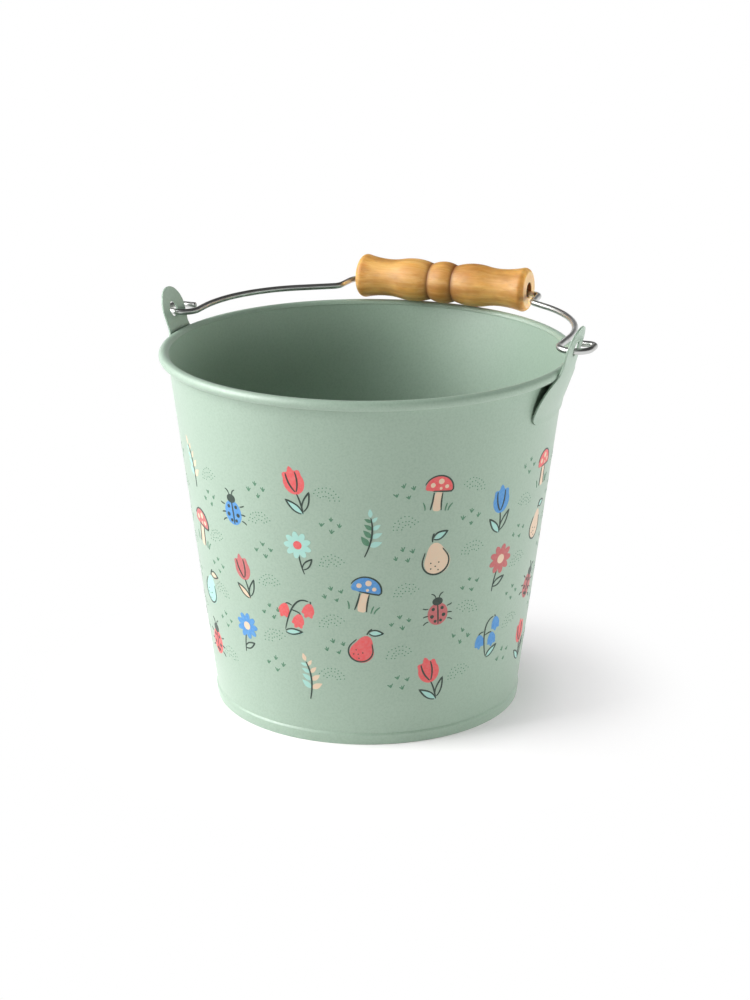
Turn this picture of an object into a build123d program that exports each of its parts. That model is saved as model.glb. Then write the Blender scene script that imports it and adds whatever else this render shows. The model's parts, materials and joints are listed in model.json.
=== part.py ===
from build123d import *
from math import acos, asin, atan, atan2, cos, degrees, hypot, radians, sin, sqrt, tan
import os

# A small garden bucket: conical sheet-steel wall with a rolled rim, seamed base, two welded ears,
# a swinging wire bail and a turned wooden grip that spins on it.
# Millimetres, +Z up. The origin is on the bucket's axis at the floor. The ears stand on the X axis,
# and the bail lies back over the rim towards +Y.

# Bucket wall and rolled rim
rim_diameter = 165.0        # outside of the rolled rim
bucket_height = 144.4       # floor to the crest of the rim
base_diameter = 122.4       # outside of the wall at its bottom edge
wall_sheet = 0.5
rim_bead = 4.0              # outside diameter of the roll itself
curl_turn = 300.0           # degrees that the edge is rolled through

# Base pan
pan_sheet = 0.5
pan_lift = 4.0              # underside of the disc above the floor
band_height = 4.5           # outer wall of the channel that wraps the wall's edge
pan_bend = 0.4              # outside radius of the channel's floor corners
seam_gap = 0.05             # between sheets that are seamed or welded together

# Ears
ear_sheet = 0.8
ear_hole_rise = 7.4         # rim crest up to the middle of the hole
ear_hole_play = 3.3         # how much wider the hole is than the wire
ear_head_radius = 8.9       # about the hole
ear_neck_width = 16.0
ear_foot_width = 37.2
ear_neck_drop = 0.6         # rim crest down to the corner between neck and shoulder
ear_shoulder_drop = 7.5     # rim crest down to the outer end of the shoulder
ear_foot_drop = 21.5        # rim crest down to the lowest point of the foot
ear_foot_crown = 1.4        # how far the foot's lower corners stand above that point
ear_contact_height = 3.5    # height of the foot that lies on the wall
ear_rim_gap = 0.1           # between the ear and the rolled rim that it passes
ear_lean = 16.0             # degrees that the head leans outwards
ear_bend = 5.0              # inside radius of the ear's two bends
neck_round = 4.0
shoulder_round = 14.0
foot_round = 4.5
crown_round = 70.0

# Wooden grip, turned to one profile either side of its middle
grip_length = 75.5
grip_bead = 17.6            # diameter of the middle bead
grip_groove = 15.0          # diameter at the two grooves beside it
groove_offset = 5.3         # all offsets are from the middle of the grip
grip_belly = 18.0
belly_offset = 13.6
grip_waist = 15.6
waist_offset = 24.8
grip_end = 20.0             # diameter of the flared ends before they are rounded
grip_end_round = 2.4
grip_bore_play = 3.9        # how much wider the bore is than the wire
bore_seat = 0.35            # between the wire and the bottom of the bore
grip_rest_gap = 0.3         # between the grip and the rim below it
grip_slide = 2.8            # where the loose grip lies along the wire, from the bucket's axis towards +X
grip_inset = 2.0            # axis of the grip inwards from the crest of the rim

# Bail wire
wire = 2.5
pin_seat = 0.4              # between the wire and the bottom of the ear's hole
arm_inset = 7.5             # middle of the arm, inwards from the ear's inner face
eye_room = 0.6              # between the top of the ear and the wire that closes the eye over it
eye_side_gap = 0.5          # between the tip of the ear and the wire outside it
right_tail_gap = 5.5        # between the wire's cut end and the arm
left_tail_gap = 2.6
eye_mouth_bend = 2.6        # bends are measured on the middle of the wire
eye_pin_bend = 5.5
arm_bend = 6.5
bow_bend = 51.0
right_step_bend = 3.2
left_step_bend = 5.0
run_shift = 3.6             # middle of the wire's run in the grip, from the bucket's axis towards +X
step_gap = 2.7              # between the end of a grip in the middle of that run and the step past it
step_slant = 1.1            # how much further out a step starts on the bow than it ends at the grip
right_step_length = 13.1    # from the bow to the line of the grip
left_step_length = 15.1
bow_slope = 32.0            # degrees between the end of the bow and the line of the grip

# Sizes that follow
rim_radius = rim_diameter / 2
bead_radius = rim_bead / 2
bead_middle = rim_radius - bead_radius
bead_height = bucket_height - bead_radius
wire_radius = wire / 2
ear_hole = wire + ear_hole_play
grip_bore = wire + grip_bore_play


def corner_turn(before, corner, after):
    """Degrees by which the path turns at a corner."""
    return (Vector(corner) - Vector(before)).get_angle(Vector(after) - Vector(corner))


def rounded_path(points, radii, largest_share=0.98):
    """A path through the points with each inner corner rounded.

    Two arcs that would run into each other on a run share it in proportion.
    """
    corners = range(1, len(points) - 1)
    half_turns = [radians(corner_turn(*points[i - 1:i + 2])) / 2 for i in corners]
    needs = [radius * tan(half) for radius, half in zip(radii, half_turns)]
    runs = [(Vector(b) - Vector(a)).length for a, b in zip(points, points[1:])]
    ends = [0.0] + needs + [0.0]
    shares = [min(1.0, largest_share * run / max(ends[i] + ends[i + 1], run * 1e-6))
              for i, run in enumerate(runs)]
    fitted = [radius * min(shares[i], shares[i + 1]) for i, radius in enumerate(radii)]
    return FilletPolyline(*points, radius=fitted)


def ring(outline):
    """The solid of revolution of an outline that is drawn as (radius, height)."""
    return revolve(Plane.XZ * make_face(outline), Axis.Z)


# The wall's middle line runs from its bottom edge to touch the circle of the rolled sheet's middle
wall_bottom = pan_sheet + seam_gap
curl_middle = bead_radius - wall_sheet / 2
wall_foot = base_diameter / 2 - wall_sheet / 2
to_bead_out = bead_middle - wall_foot
to_bead_up = bead_height - wall_bottom
wall_slope = atan2(to_bead_out, to_bead_up) - asin(curl_middle / hypot(to_bead_out, to_bead_up))
wall_half = wall_sheet / 2 / cos(wall_slope)


def wall_at(height, side):
    """Radius of the wall's outside (side 1), middle (0) or inside (-1) at a height."""
    return wall_foot + (height - wall_bottom) * tan(wall_slope) + side * wall_half


def on_curl(radius, turn):
    """A point of the rolled rim, turn degrees on from where the wall runs into it."""
    angle = radians(180.0 - turn) - wall_slope
    return bead_middle + radius * cos(angle), bead_height + radius * sin(angle)


def bucket_wall():
    """Sheet profile: up the outside of the wall, under the roll, round its end and back inside."""
    roll_out = bead_radius
    roll_in = bead_radius - wall_sheet
    outline = [
        Line((wall_at(wall_bottom, -1), wall_bottom), (wall_at(wall_bottom, 1), wall_bottom)),
        Line((wall_at(wall_bottom, 1), wall_bottom), on_curl(roll_in, 0)),
        ThreePointArc(on_curl(roll_in, 0), on_curl(roll_in, curl_turn / 2), on_curl(roll_in, curl_turn)),
        Line(on_curl(roll_in, curl_turn), on_curl(roll_out, curl_turn)),
        ThreePointArc(on_curl(roll_out, curl_turn), on_curl(roll_out, curl_turn / 2), on_curl(roll_out, 0)),
        Line(on_curl(roll_out, 0), (wall_at(wall_bottom, -1), wall_bottom)),
    ]
    return ring(outline)


def base_pan():
    """Disc, flange down inside the wall, channel floor under its edge, and band up its outside."""
    pan_side = pan_sheet / cos(wall_slope)
    disc_top = pan_lift + pan_sheet

    def inside(height, layer):
        return wall_at(height, -1) - seam_gap - layer * pan_side

    def outside(height, layer):
        return wall_at(height, 1) + seam_gap + layer * pan_side

    corners = [
        (0, pan_lift),
        (inside(pan_lift, 1), pan_lift),
        (inside(0, 1), 0),
        (outside(0, 1), 0),
        (outside(band_height, 1), band_height),
        (outside(band_height, 0), band_height),
        (outside(pan_sheet, 0), pan_sheet),
        (inside(pan_sheet, 0), pan_sheet),
        (inside(disc_top, 0), disc_top),
        (0, disc_top),
    ]
    edge_round = pan_sheet / 3
    radii = [0, pan_bend, pan_bend, edge_round, edge_round, 0, 0, pan_bend]
    outline = rounded_path(corners, radii)
    return ring([outline, Line(corners[-1], corners[0])])


# Grip height: its bead or its bellies come to rest on the curved crest of the rim
grip_reach = bead_middle - grip_inset


def axis_over_rim(diameter, offset):
    """Height of the grip's axis at which a round of this diameter, at an offset, clears the rim."""
    past_axis = sqrt(bead_middle**2 - (grip_slide + offset)**2) - grip_reach
    return bead_height + sqrt((diameter / 2 + bead_radius + grip_rest_gap)**2 - past_axis**2)


belly_heights = [axis_over_rim(grip_belly, side * belly_offset) for side in (-1, 1)]
grip_height = max(axis_over_rim(grip_bead, 0), *belly_heights)

# The wire lies low in the holes of the ears and low in the bore, so the bail rises a little to the grip
hole_height = bucket_height + ear_hole_rise
pin_drop = ear_hole / 2 - wire_radius - pin_seat
hinge_height = hole_height - pin_drop
wire_at_grip = grip_height - (grip_bore / 2 - wire_radius - bore_seat)
bail_rise = atan2(wire_at_grip - hinge_height, grip_reach)
wire_reach = hypot(wire_at_grip - hinge_height, grip_reach)

# Ear profile: up the wall, then two straight runs that meet beside the rim and both just clear it
foot_bottom = bucket_height - ear_foot_drop
contact_top = foot_bottom + ear_contact_height
contact_radius = wall_at(contact_top, 1) + seam_gap
past_out = bead_middle - contact_radius
past_up = bead_height - contact_top
past_clear = bead_radius + ear_rim_gap
past_slope = atan2(past_out, past_up) + asin(past_clear / hypot(past_out, past_up))
lean = radians(ear_lean)
neck_slope = (past_slope + lean) / 2
neck_clear = past_clear / cos((past_slope - lean) / 2)
neck_radius = bead_middle + neck_clear * cos(neck_slope)
neck_height = bead_height - neck_clear * sin(neck_slope)
ear_top = hole_height + ear_head_radius


def ear_inside(height):
    """Radius of the ear's inner face above the rim."""
    return neck_radius + (height - neck_height) * tan(lean)


def ear_profile():
    """The bent strip seen from the side, as (radius, height)."""
    slopes = [wall_slope, past_slope, lean]
    inner = [
        (wall_at(foot_bottom, 1) + seam_gap, foot_bottom),
        (contact_radius, contact_top),
        (neck_radius, neck_height),
        (ear_inside(ear_top), ear_top),
    ]
    joints = [slopes[0], (slopes[0] + slopes[1]) / 2, neck_slope, slopes[2]]
    spreads = [0.0, (slopes[1] - slopes[0]) / 2, (slopes[1] - slopes[2]) / 2, 0.0]
    outer = [(r + ear_sheet * cos(a) / cos(s), z - ear_sheet * sin(a) / cos(s))
             for (r, z), a, s in zip(inner, joints, spreads)]
    inner_path = rounded_path(inner, [ear_bend + ear_sheet, ear_bend])
    outer_path = rounded_path(outer, [ear_bend, ear_bend + ear_sheet])
    return [inner_path, Line(inner[-1], outer[-1]), outer_path, Line(outer[0], inner[0])]


def ear_outline():
    """The ear seen square on, as (across, height): round head, neck, shoulders and crowned foot."""
    neck = ear_neck_width / 2
    foot = ear_foot_width / 2
    neck_corner = bucket_height - ear_neck_drop
    below = hole_height - neck_corner
    touch = acos(ear_head_radius / hypot(neck, below)) - atan2(below, neck)
    touch_across = ear_head_radius * cos(touch)
    touch_height = hole_height + ear_head_radius * sin(touch)
    side = [
        (touch_across, touch_height),
        (neck, neck_corner),
        (foot, bucket_height - ear_shoulder_drop),
        (foot, foot_bottom + ear_foot_crown),
    ]
    mirrored = [(-y, z) for y, z in reversed(side)]
    radii = [neck_round, shoulder_round, foot_round]
    sides = rounded_path(side + [(0, foot_bottom)] + mirrored, radii + [crown_round] + radii[::-1])
    head = ThreePointArc(mirrored[-1], (0, ear_top), side[0])
    return [sides, head]


def ear():
    """The strip curved round the bucket's axis, trimmed to its outline and pierced for the wire."""
    spread = 3 * degrees(asin(ear_foot_width / 2 / contact_radius))
    strip = revolve(Plane.XZ * make_face(ear_profile()), Axis.Z, revolution_arc=spread)
    strip = Rot(0, 0, -spread / 2) * strip
    blank = extrude(Plane.YZ * make_face(ear_outline()), rim_diameter)
    hole = Plane.YZ * Pos(0, hole_height) * Circle(ear_hole / 2)
    return (strip & blank) - extrude(hole, rim_diameter)


def bail_points(tail_gap, shift, step_length):
    """Corners of one half of the wire in its own plane, as (across, out from the hinge)."""
    arm = ear_inside(hinge_height) - arm_inset
    tip_outside = ear_inside(ear_top) + ear_sheet / cos(lean)
    eye_side = tip_outside + eye_side_gap + wire_radius
    eye_end = ear_top - hinge_height + eye_room + wire_radius
    step_head = grip_length / 2 + step_gap + wire_radius + shift
    step_foot = step_head + step_slant
    bow_end = wire_reach - step_length
    bow_corner = bow_end - (arm - step_foot) * tan(radians(bow_slope))
    return [
        (arm + wire_radius + tail_gap, eye_end),
        (eye_side, eye_end),
        (eye_side, 0),
        (arm, 0),
        (arm, bow_corner),
        (step_foot, bow_end),
        (step_head, wire_reach),
    ]


def bail():
    """Round wire swept along both halves of the path, laid back from the hinge to the grip."""
    shared_bends = [eye_mouth_bend, eye_pin_bend, arm_bend, bow_bend]
    right_bends = shared_bends + [right_step_bend] * 2
    left_bends = shared_bends + [left_step_bend] * 2
    right_half = bail_points(right_tail_gap, run_shift, right_step_length)
    left_half = bail_points(left_tail_gap, -run_shift, left_step_length)
    left_half = [(-x, y) for x, y in reversed(left_half)]
    path = rounded_path(right_half + left_half, right_bends + left_bends[::-1])
    section = Plane(origin=path @ 0, z_dir=path % 0) * Circle(wire_radius)
    return Pos(0, 0, hinge_height) * Rot(degrees(bail_rise), 0, 0) * sweep(section, path)


def grip():
    """Half the bored and turned profile, as (along the grip, radius), with its mirror image."""
    half = grip_length / 2
    bead = (0, grip_bead / 2)
    groove = (groove_offset, grip_groove / 2)
    belly = (belly_offset, grip_belly / 2)
    waist = (waist_offset, grip_waist / 2)
    between = ((belly[0] + waist[0]) / 2, (belly[1] + waist[1]) / 2)
    end = (half, grip_end / 2)
    outwards = (1, 0)
    inwards = (-1, 0)
    outline = [
        TangentArc(bead, groove, tangent=outwards),
        TangentArc(belly, groove, tangent=inwards),
        TangentArc(belly, between, tangent=outwards),
        TangentArc(waist, between, tangent=inwards),
        TangentArc(waist, end, tangent=outwards),
        Polyline(end, (half, grip_bore / 2), (0, grip_bore / 2), bead),
    ]
    end_corner = make_face(outline).vertices().sort_by(Axis.Y)[-1]
    turned = revolve(fillet(end_corner, grip_end_round), Axis.X)
    return Pos(grip_slide, grip_reach, grip_height) * (turned + mirror(turned, about=Plane.YZ))


right_ear = ear()
pieces = {
    "bucket_body": bucket_wall(),
    "base_pan": base_pan(),
    "ear_right": right_ear,
    "ear_left": mirror(right_ear, about=Plane.YZ),
    "bail_wire": bail(),
    "handle_grip": grip(),
}
os.makedirs("parts", exist_ok=True)
for name, piece in pieces.items():
    export_step(piece, f"parts/{name}.step")

# The bail swings until the grip meets the front of the rim
front_stop = 180.0 - degrees(2 * atan((grip_height - hinge_height) / grip_reach))
print(f"hinge at z {hinge_height:.3f}, grip axis at y {grip_reach:.3f}, z {grip_height:.3f}")
print(f"front stop {front_stop:.3f} degrees, wall slope {degrees(wall_slope):.3f} degrees")
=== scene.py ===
import json
import logging
import math
from abc import ABC, abstractmethod
from dataclasses import dataclass, field
from enum import Enum
from typing import Any, Sequence

import bpy
import numpy as np
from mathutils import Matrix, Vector


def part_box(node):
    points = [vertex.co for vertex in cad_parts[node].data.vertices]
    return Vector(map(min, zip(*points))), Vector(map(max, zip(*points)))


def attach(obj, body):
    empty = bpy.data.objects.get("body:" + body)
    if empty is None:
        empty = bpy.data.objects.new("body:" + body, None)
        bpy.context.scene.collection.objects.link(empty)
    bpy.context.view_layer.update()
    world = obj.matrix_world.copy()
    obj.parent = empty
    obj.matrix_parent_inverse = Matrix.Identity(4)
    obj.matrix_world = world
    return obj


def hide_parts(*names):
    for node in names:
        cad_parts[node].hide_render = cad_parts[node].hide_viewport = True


# The looks of a small garden bucket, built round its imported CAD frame.
# Sizes are in millimetres until they become a mesh. +Z is up, the ears stand on the X axis, and the
# bail lies back over the rim towards +Y.

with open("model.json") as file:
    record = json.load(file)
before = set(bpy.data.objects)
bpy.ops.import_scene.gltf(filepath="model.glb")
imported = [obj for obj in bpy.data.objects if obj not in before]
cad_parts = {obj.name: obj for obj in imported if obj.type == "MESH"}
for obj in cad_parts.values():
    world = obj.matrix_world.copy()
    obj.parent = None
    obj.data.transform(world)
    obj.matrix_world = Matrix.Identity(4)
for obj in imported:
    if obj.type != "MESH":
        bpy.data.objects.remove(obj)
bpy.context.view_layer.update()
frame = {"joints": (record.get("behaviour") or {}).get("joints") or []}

MM = 0.001
TINY = 1e-6                 # what counts as nothing, as a length or a share
TURN = 2 * math.pi
OUTLINE_STEPS = 36          # in a printed shape
ROUND = np.linspace(0, TURN, OUTLINE_STEPS, endpoint=False)
Array = np.ndarray
Pair = tuple[float, float]
Place = tuple[float, float, float]
log = logging.getLogger("garden_bucket")


# Frame

def node_box(node: str) -> tuple[Array, Array]:
    """Find where a CAD node lies.

    Args:
        node: Name of the node.

    Returns:
        Its lowest and its highest corner in millimetres.
    """
    low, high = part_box(node)
    return np.array(low) / MM, np.array(high) / MM


def joint_place(name: str) -> Array:
    """Find the point on a joint's axis, in millimetres, by the joint's name."""
    joint = next(joint for joint in frame["joints"] if joint["name"] == name)
    return np.array(joint["pos_m"]) / MM


# Surfaces

@dataclass
class Skin:
    """A surface as whole arrays, before it becomes a mesh.

    A face is four point numbers. Where a number stands twice in a row, the face is a triangle.
    """

    points: Array
    faces: Array

    @classmethod
    def weave(cls, grid: Array, wrap_rows: bool = False, wrap_columns: bool = False,
              poles: bool = False) -> "Skin":
        """Join each point of a grid to its neighbours.

        Args:
            grid: Points by row and column, with three coordinates each.
            wrap_rows: Whether the last row joins the first.
            wrap_columns: Whether the last column joins the first.
            poles: Whether the first and the last row are each drawn together to one point.

        Returns:
            The surface, which faces along the column direction crossed with the row direction.
        """
        rows, columns = grid.shape[:2]
        number = np.arange(rows * columns).reshape(rows, columns)
        points = grid.reshape(-1, 3)
        if poles:
            points = points[columns - 1:-(columns - 1)]
            number = np.clip(number - (columns - 1), 0, len(points) - 1)
        if wrap_rows:
            number = np.vstack([number, number[:1]])
        if wrap_columns:
            number = np.hstack([number, number[:, :1]])
        faces = np.stack([number[:-1, :-1], number[:-1, 1:], number[1:, 1:], number[1:, :-1]], axis=-1)
        return cls(points, faces.reshape(-1, 4))

    @classmethod
    def join(cls, skins: Sequence["Skin"]) -> "Skin":
        """Gather several surfaces into one.

        Args:
            skins: The surfaces.

        Returns:
            One surface with all their points and faces.
        """
        starts = np.cumsum([0] + [len(skin.points) for skin in skins])
        faces = [skin.faces + start for skin, start in zip(skins, starts)]
        return cls(np.concatenate([skin.points for skin in skins]), np.concatenate(faces))

    def piece(self, name: str, sharp: float = 35.0) -> bpy.types.Object:
        """Make the surface an object at the origin, with its place in its mesh.

        Args:
            name: Name of the object.
            sharp: Degrees between two faces from which their edge is shaded as a sharp one.

        Returns:
            The new object.
        """
        corners = self.faces != np.roll(self.faces, -1, axis=1)
        sizes = corners.sum(axis=1)
        mesh = bpy.data.meshes.new(name)
        mesh.vertices.add(len(self.points))
        mesh.vertices.foreach_set("co", (self.points * MM).astype(np.float32).ravel())
        mesh.loops.add(int(sizes.sum()))
        mesh.loops.foreach_set("vertex_index", self.faces[corners].astype(np.int32))
        mesh.polygons.add(len(sizes))
        mesh.polygons.foreach_set("loop_start", (np.cumsum(sizes) - sizes).astype(np.int32))
        mesh.polygons.foreach_set("use_smooth", np.ones(len(sizes), dtype=bool))
        mesh.update(calc_edges=True)
        mesh.validate()
        mesh.set_sharp_from_angle(angle=math.radians(sharp))
        made = bpy.data.objects.new(name, mesh)
        bpy.context.scene.collection.objects.link(made)
        return made


def on_circle(angles: Any) -> Array:
    """Points of a circle of radius one, as (cosine, sine) of each angle."""
    return np.stack([np.cos(angles), np.sin(angles)], axis=-1)


def way_along(line: Array) -> Array:
    """Distance along a line to each of its points."""
    return np.concatenate([[0], np.cumsum(np.linalg.norm(np.diff(line, axis=0), axis=1))])


def rounded_line(points: Sequence[Pair], radii: Sequence[float], steps: int = 12) -> Array:
    """Round the inner corners of a broken line.

    Each corner gets the arc that touches both its runs, radius times the tangent of half the turn
    away from the corner. Arcs that would run into each other share the run between them. A point of
    the arc is its middle, less the radius times the cosine of its angle along the bisector, plus the
    radius times the sine across it.

    Args:
        points: Ends and corners of the line.
        radii: Radius at each corner.
        steps: Steps in each arc.

    Returns:
        Points along the rounded line, of which each corner has one more than its steps.
    """
    usable = 0.98       # share of a run that the arcs at its two ends may take up
    line = np.array(points, dtype=float)
    runs = np.diff(line, axis=0)
    lengths = np.linalg.norm(runs, axis=1)
    ways = runs / lengths[:, None]
    half = np.arccos(np.clip((ways[:-1] * ways[1:]).sum(axis=1), -1, 1)) / 2
    needs = np.concatenate([[0], np.array(radii) * np.tan(half), [0]])
    shares = np.minimum(1, usable * lengths / np.maximum(needs[:-1] + needs[1:], lengths * TINY))
    fitted = np.array(radii) * np.minimum(shares[:-1], shares[1:])
    inwards = (ways[1:] - ways[:-1]) / (2 * np.sin(half))[:, None]
    onwards = (ways[1:] + ways[:-1]) / (2 * np.cos(half))[:, None]
    middles = line[1:-1] + inwards * (fitted / np.cos(half))[:, None]
    angles = half[:, None] * np.linspace(-1, 1, steps + 1)
    arcs = (middles[:, None]
            - inwards[:, None] * (fitted[:, None] * np.cos(angles))[..., None]
            + onwards[:, None] * (fitted[:, None] * np.sin(angles))[..., None])
    return np.concatenate([line[:1], arcs.reshape(-1, 2), line[-1:]])


def resampled(line: Array, count: int) -> Array:
    """Walk along a line in even steps.

    Args:
        line: Points of the line.
        count: Number of points wanted.

    Returns:
        Points at even distances along the line, with both its ends.
    """
    along = way_along(line)
    even = np.linspace(0, along[-1], count)
    return np.stack([np.interp(even, along, line[:, axis]) for axis in range(line.shape[1])], axis=-1)


def turned(profile: Array, steps: int) -> Array:
    """Turn a profile round the Z axis.

    The point at angle a is (radius cos a, radius sin a, height).

    Args:
        profile: Points as (radius, height).
        steps: Steps in a full turn.

    Returns:
        A grid with a row for each profile point and a column for each angle.
    """
    angles = np.linspace(0, TURN, steps, endpoint=False)
    radius = profile[:, :1]
    height = np.broadcast_to(profile[:, 1:], (len(profile), steps))
    return np.stack([radius * np.cos(angles), radius * np.sin(angles), height], axis=-1)


# Finishes

def linear(code: str) -> tuple[float, float, float, float]:
    """Turn a colour from sRGB to linear light.

    Args:
        code: The sRGB colour as a hex code.

    Returns:
        Linear red, green and blue, and a full alpha.
    """
    shown = np.array([int(code[i:i + 2], 16) for i in (1, 3, 5)]) / 255
    light = np.where(shown <= 0.04045, shown / 12.92, ((shown + 0.055) / 1.055) ** 2.4)
    return (*light.tolist(), 1.0)


def per(size: float) -> float:
    """How many times a pattern of a size in millimetres fits into a metre."""
    return 1 / (size * MM)


def connect(tree: bpy.types.NodeTree, node: bpy.types.Node, inputs: dict[Any, Any]) -> None:
    """Set or link the inputs of a node.

    Args:
        tree: The node's tree.
        node: The node.
        inputs: For each input, by name or number, its value or the output that it is linked to.
    """
    for name, value in inputs.items():
        if isinstance(value, bpy.types.NodeSocket):
            tree.links.new(value, node.inputs[name])
        else:
            node.inputs[name].default_value = value


def add_node(tree: bpy.types.NodeTree, kind: str, inputs: dict[Any, Any] | None = None,
             **settings: Any) -> bpy.types.Node:
    """Add a node with its settings and links.

    Args:
        tree: Node tree to add to.
        kind: Blender's name for the node's type.
        inputs: Values and links of its inputs.
        settings: Properties of the node itself.

    Returns:
        The new node.
    """
    node = tree.nodes.new(kind)
    for name, value in settings.items():
        setattr(node, name, value)
    connect(tree, node, inputs or {})
    return node


def looked_at(tree: bpy.types.NodeTree) -> bpy.types.NodeSocket:
    """Tell the rays that show a surface, directly, mirrored or through glass, from those that light by it.

    Args:
        tree: Node tree of the paper or of the room.

    Returns:
        An output that is 1 for such a ray.
    """
    path = add_node(tree, "ShaderNodeLightPath")
    seen = path.outputs["Is Camera Ray"]
    for way in ("Is Glossy Ray", "Is Transmission Ray"):
        seen = add_node(tree, "ShaderNodeMath", {0: seen, 1: path.outputs[way]},
                        operation="MAXIMUM").outputs[0]
    return seen


@dataclass(frozen=True)
class Finish(ABC):
    """A surface finish, which makes its own material."""

    name: str

    def material(self) -> bpy.types.Material:
        """Make the finish's material, or find the one that it made before.

        Returns:
            The material.
        """
        made = bpy.data.materials.get(self.name)
        if made is None:
            made = bpy.data.materials.new(self.name)
            made.use_nodes = True
            self.paint(made.node_tree, made.node_tree.nodes["Principled BSDF"])
        return made

    @abstractmethod
    def paint(self, tree: bpy.types.NodeTree, shader: bpy.types.Node) -> None:
        """Add the finish's nodes.

        Args:
            tree: The material's node tree.
            shader: Its principled shader.
        """


@dataclass(frozen=True)
class PowderCoat(Finish):
    """Baked polyester powder on steel: an even satin with a faint orange peel and a few dust specks.

    A span is the two noise values between which a pattern sets in.
    """

    paint_code: str = "#96AE9B"
    cloud_code: str = "#92AA97"
    mottle_code: str = "#7E9984"
    speck_code: str = "#5F7A69"
    cloud: float = 38.0             # width of the slow changes of tone
    cloud_span: Pair = (0.3, 0.7)
    peel: float = 1.1               # width of the orange peel, drawn a little coarser than it is
    peel_height: float = 0.011
    mottle: float = 0.8             # width of the grains that the powder melts from, drawn coarser
    mottle_span: Pair = (0.4, 0.7)
    mottle_share: float = 0.45
    speck: float = 0.26             # radius of a speck, drawn larger than dust so that it shows
    speck_apart: float = 2.4
    speck_share: float = 0.1        # how many of the places hold a speck
    speck_strength: float = 0.45
    gloss: Pair = (0.46, 0.54)
    body_shine: float = 0.75        # the dense pigment shines a little more than plain resin
    skin: float = 1.0               # clear top layer that the resin forms
    skin_roughness: float = 0.48
    bloom: float = 0.08             # pale haze that the matting agent gives the lit side
    bloom_roughness: float = 0.8

    def paint(self, tree: bpy.types.NodeTree, shader: bpy.types.Node) -> None:
        """Add slow clouds, fine grains, specks, an uneven gloss and the orange peel.

        Args:
            tree: The material's node tree.
            shader: Its principled shader.
        """
        place = add_node(tree, "ShaderNodeTexCoord").outputs["Object"]
        clouds, peel, grains = (
            add_node(tree, "ShaderNodeTexNoise",
                     {"Vector": place, "Scale": per(width), "Detail": detail}).outputs[0]
            for width, detail in ((self.cloud, 3.0), (self.peel, 1.0), (self.mottle, 2.0)))
        grain, gloss = (
            add_node(tree, "ShaderNodeMapRange", {
                "Value": value, "From Min": low, "From Max": high,
                "To Min": least, "To Max": most}).outputs[0]
            for value, (low, high), (least, most) in (
                (grains, self.mottle_span, (0.0, self.mottle_share)), (clouds, self.cloud_span, self.gloss)))
        cells = add_node(tree, "ShaderNodeTexVoronoi", {"Vector": place, "Scale": per(self.speck_apart)})
        radius = self.speck / self.speck_apart
        near = add_node(tree, "ShaderNodeMapRange", {
            "Value": cells.outputs["Distance"], "From Min": radius, "From Max": radius / 2}).outputs[0]
        chosen = add_node(tree, "ShaderNodeMath", {0: cells.outputs["Color"], 1: self.speck_share},
                          operation="LESS_THAN").outputs[0]
        speck = near
        for factor in (chosen, self.speck_strength):
            speck = add_node(tree, "ShaderNodeMath", {0: speck, 1: factor}, operation="MULTIPLY").outputs[0]
        colour = linear(self.paint_code)
        layers = ((clouds, self.cloud_code), (grain, self.mottle_code), (speck, self.speck_code))
        for share, code in layers:
            colour = add_node(tree, "ShaderNodeMix", {0: share, 6: colour, 7: linear(code)},
                              data_type="RGBA").outputs[2]
        bump = add_node(tree, "ShaderNodeBump", {
            "Height": peel, "Distance": self.peel_height * MM, "Strength": 1.0}).outputs[0]
        connect(tree, shader, {
            "Base Color": colour, "Roughness": gloss, "Normal": bump, "Specular IOR Level": self.body_shine,
            "Coat Weight": self.skin, "Coat Roughness": self.skin_roughness,
            "Sheen Weight": self.bloom, "Sheen Roughness": self.bloom_roughness})


@dataclass(frozen=True)
class ScreenInk(Finish):
    """Opaque ink, screen printed over the powder coat: a thin, slightly mottled satin film."""

    ink_code: str
    thin_code: str
    mottle: float = 0.9                 # width of the thin places that the screen leaves
    mottle_span: Pair = (0.35, 0.75)    # noise between which the film grows thin
    roughness: float = 0.42

    def paint(self, tree: bpy.types.NodeTree, shader: bpy.types.Node) -> None:
        """Add thin places where the paint shows through a little.

        Args:
            tree: The material's node tree.
            shader: Its principled shader.
        """
        place = add_node(tree, "ShaderNodeTexCoord").outputs["Object"]
        mottle = add_node(tree, "ShaderNodeTexNoise",
                          {"Vector": place, "Scale": per(self.mottle), "Detail": 2.0}).outputs[0]
        thin = add_node(tree, "ShaderNodeMapRange", {
            "Value": mottle, "From Min": self.mottle_span[0], "From Max": self.mottle_span[1]}).outputs[0]
        colour = add_node(tree, "ShaderNodeMix", {
            0: thin, 6: linear(self.ink_code), 7: linear(self.thin_code)}, data_type="RGBA").outputs[2]
        connect(tree, shader, {"Base Color": colour, "Roughness": self.roughness})


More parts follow.
